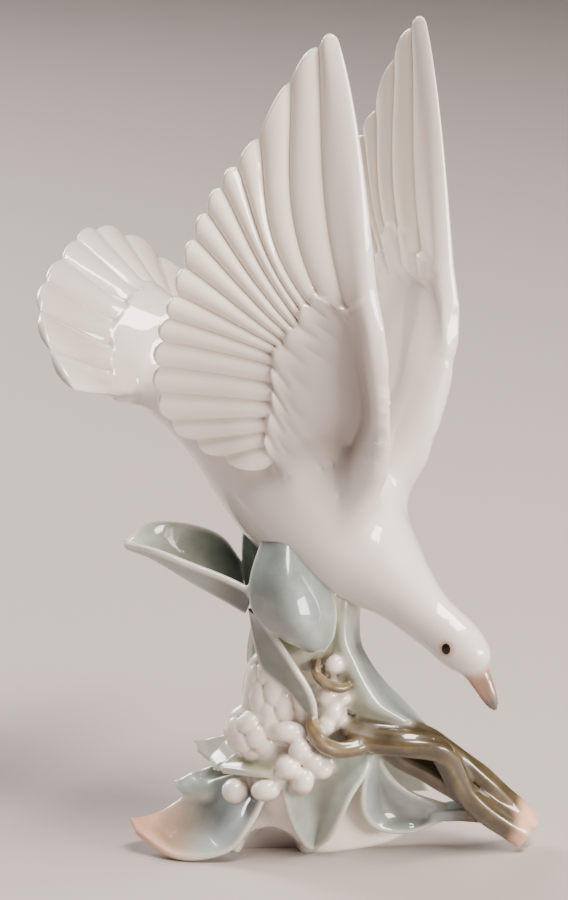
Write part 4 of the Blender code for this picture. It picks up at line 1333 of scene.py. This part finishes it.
sweep = np.linspace(0.0, 0.5 * math.pi, 40)
profile_y = np.concatenate([[-FLOOR_HALF], BACKDROP_DISTANCE + BACKDROP_RADIUS * np.sin(sweep),
                            [BACKDROP_DISTANCE + BACKDROP_RADIUS]])
profile_z = np.concatenate([[0.0], BACKDROP_RADIUS * (1.0 - np.cos(sweep)), [BACKDROP_HEIGHT]])
sides = np.array([-FLOOR_HALF, FLOOR_HALF])
grid = np.broadcast_arrays(sides[None, :], profile_y[:, None], profile_z[:, None])
grid = np.stack(grid, axis=-1)
paper_mesh = bpy.data.meshes.new("paper")
paper_mesh.from_pydata(grid.reshape(-1, 3).tolist(), [],
                       grid_quads(len(profile_y), 2, flip=True).tolist())
paper_mesh.shade_smooth()
# Matt warm grey paper, as behind a studio table.
paper_mesh.materials.append(
    plain_finish("pale_paper", linear("#b1a8a4"), {"Roughness": 0.7, "Specular IOR Level": 0.2}))
paper = add_object("paper", paper_mesh)
print("floor at z = 0, backdrop", BACKDROP_DISTANCE + BACKDROP_RADIUS, "m behind")

# %% [markdown]
# The camera stands in front of the bird's right side and looks down on it a little, from so far
# that the wings keep their true proportions. Its aim is half way up the figure.

# %% Camera
CAMERA_RAISE = math.radians(13.0)
CAMERA_DISTANCE = 1250.0
CAMERA_AIM = np.array([0.0, 0.0, 145.5])
IMAGE_HEIGHT = 900.0
FOCAL_PIXELS = 3525.0
SENSOR_HEIGHT = 24.0

view = np.array([0.0, math.cos(CAMERA_RAISE), -math.sin(CAMERA_RAISE)])
camera_data = bpy.data.cameras.new("camera")
camera_data.sensor_fit = "VERTICAL"
camera_data.sensor_height = SENSOR_HEIGHT
camera_data.lens = SENSOR_HEIGHT * FOCAL_PIXELS / IMAGE_HEIGHT
camera = add_object("camera", camera_data)
camera.location = to_metres(CAMERA_AIM - view * CAMERA_DISTANCE)
camera.rotation_euler = (0.5 * math.pi - CAMERA_RAISE, 0.0, 0.0)
bpy.context.scene.camera = camera
print("camera at", tuple(round(v, 3) for v in camera.location), "lens", camera_data.lens, "mm")

# %% [markdown]
# The light is soft and comes from above: a wide softbox overhead, a low wide one on the right, a
# tall one behind on the left that edges the feathers, and one over the floor behind, in a dim
# room. What faces down, such as the hollow under the wing, stays darker. In gloss the boxes show
# as window-like patches, as they do on the real glaze.

# %% Light


def add_softbox(name, place, aim, width, height, power, colour):
    """Rectangular area light at a place, turned by the angles of its way to a point."""
    lamp = bpy.data.lights.new(name, "AREA")
    lamp.shape = "RECTANGLE"
    lamp.size = width
    lamp.size_y = height
    lamp.energy = power
    lamp.color = tuple(linear(colour)[:3])
    holder = add_object(name, lamp)
    place = np.array(place)
    toward = unit(np.array(aim) - place)
    turn = math.atan2(toward[0], toward[1])
    tilt = math.acos(-toward[2])
    holder.location = place
    holder.rotation_euler = (tilt, 0.0, -turn)


AIM = (0.0, -0.02, 0.14)
add_softbox("softbox_above", (0.53, -0.4, 1.58), AIM, 1.2, 0.4, 58.0, "#fff4ec")
add_softbox("softbox_right", (1.35, -0.82, 0.42), AIM, 0.9, 0.42, 36.0, "#fff3ea")
add_softbox("softbox_back", (-1.1, 1.0, 1.0), AIM, 0.4, 1.0, 24.0, "#fbf8f6")
add_softbox("softbox_floor", (-1.4, 1.8, 1.5), (-1.0, 1.6, 0.0), 1.2, 1.2, 58.0, "#faf6f4")
room = bpy.data.worlds.new("room")
room.use_nodes = True
air = room.node_tree.nodes["Background"]
air.inputs["Color"].default_value = opaque(linear("#d8cdc9"))
air.inputs["Strength"].default_value = 0.09
bpy.context.scene.world = room
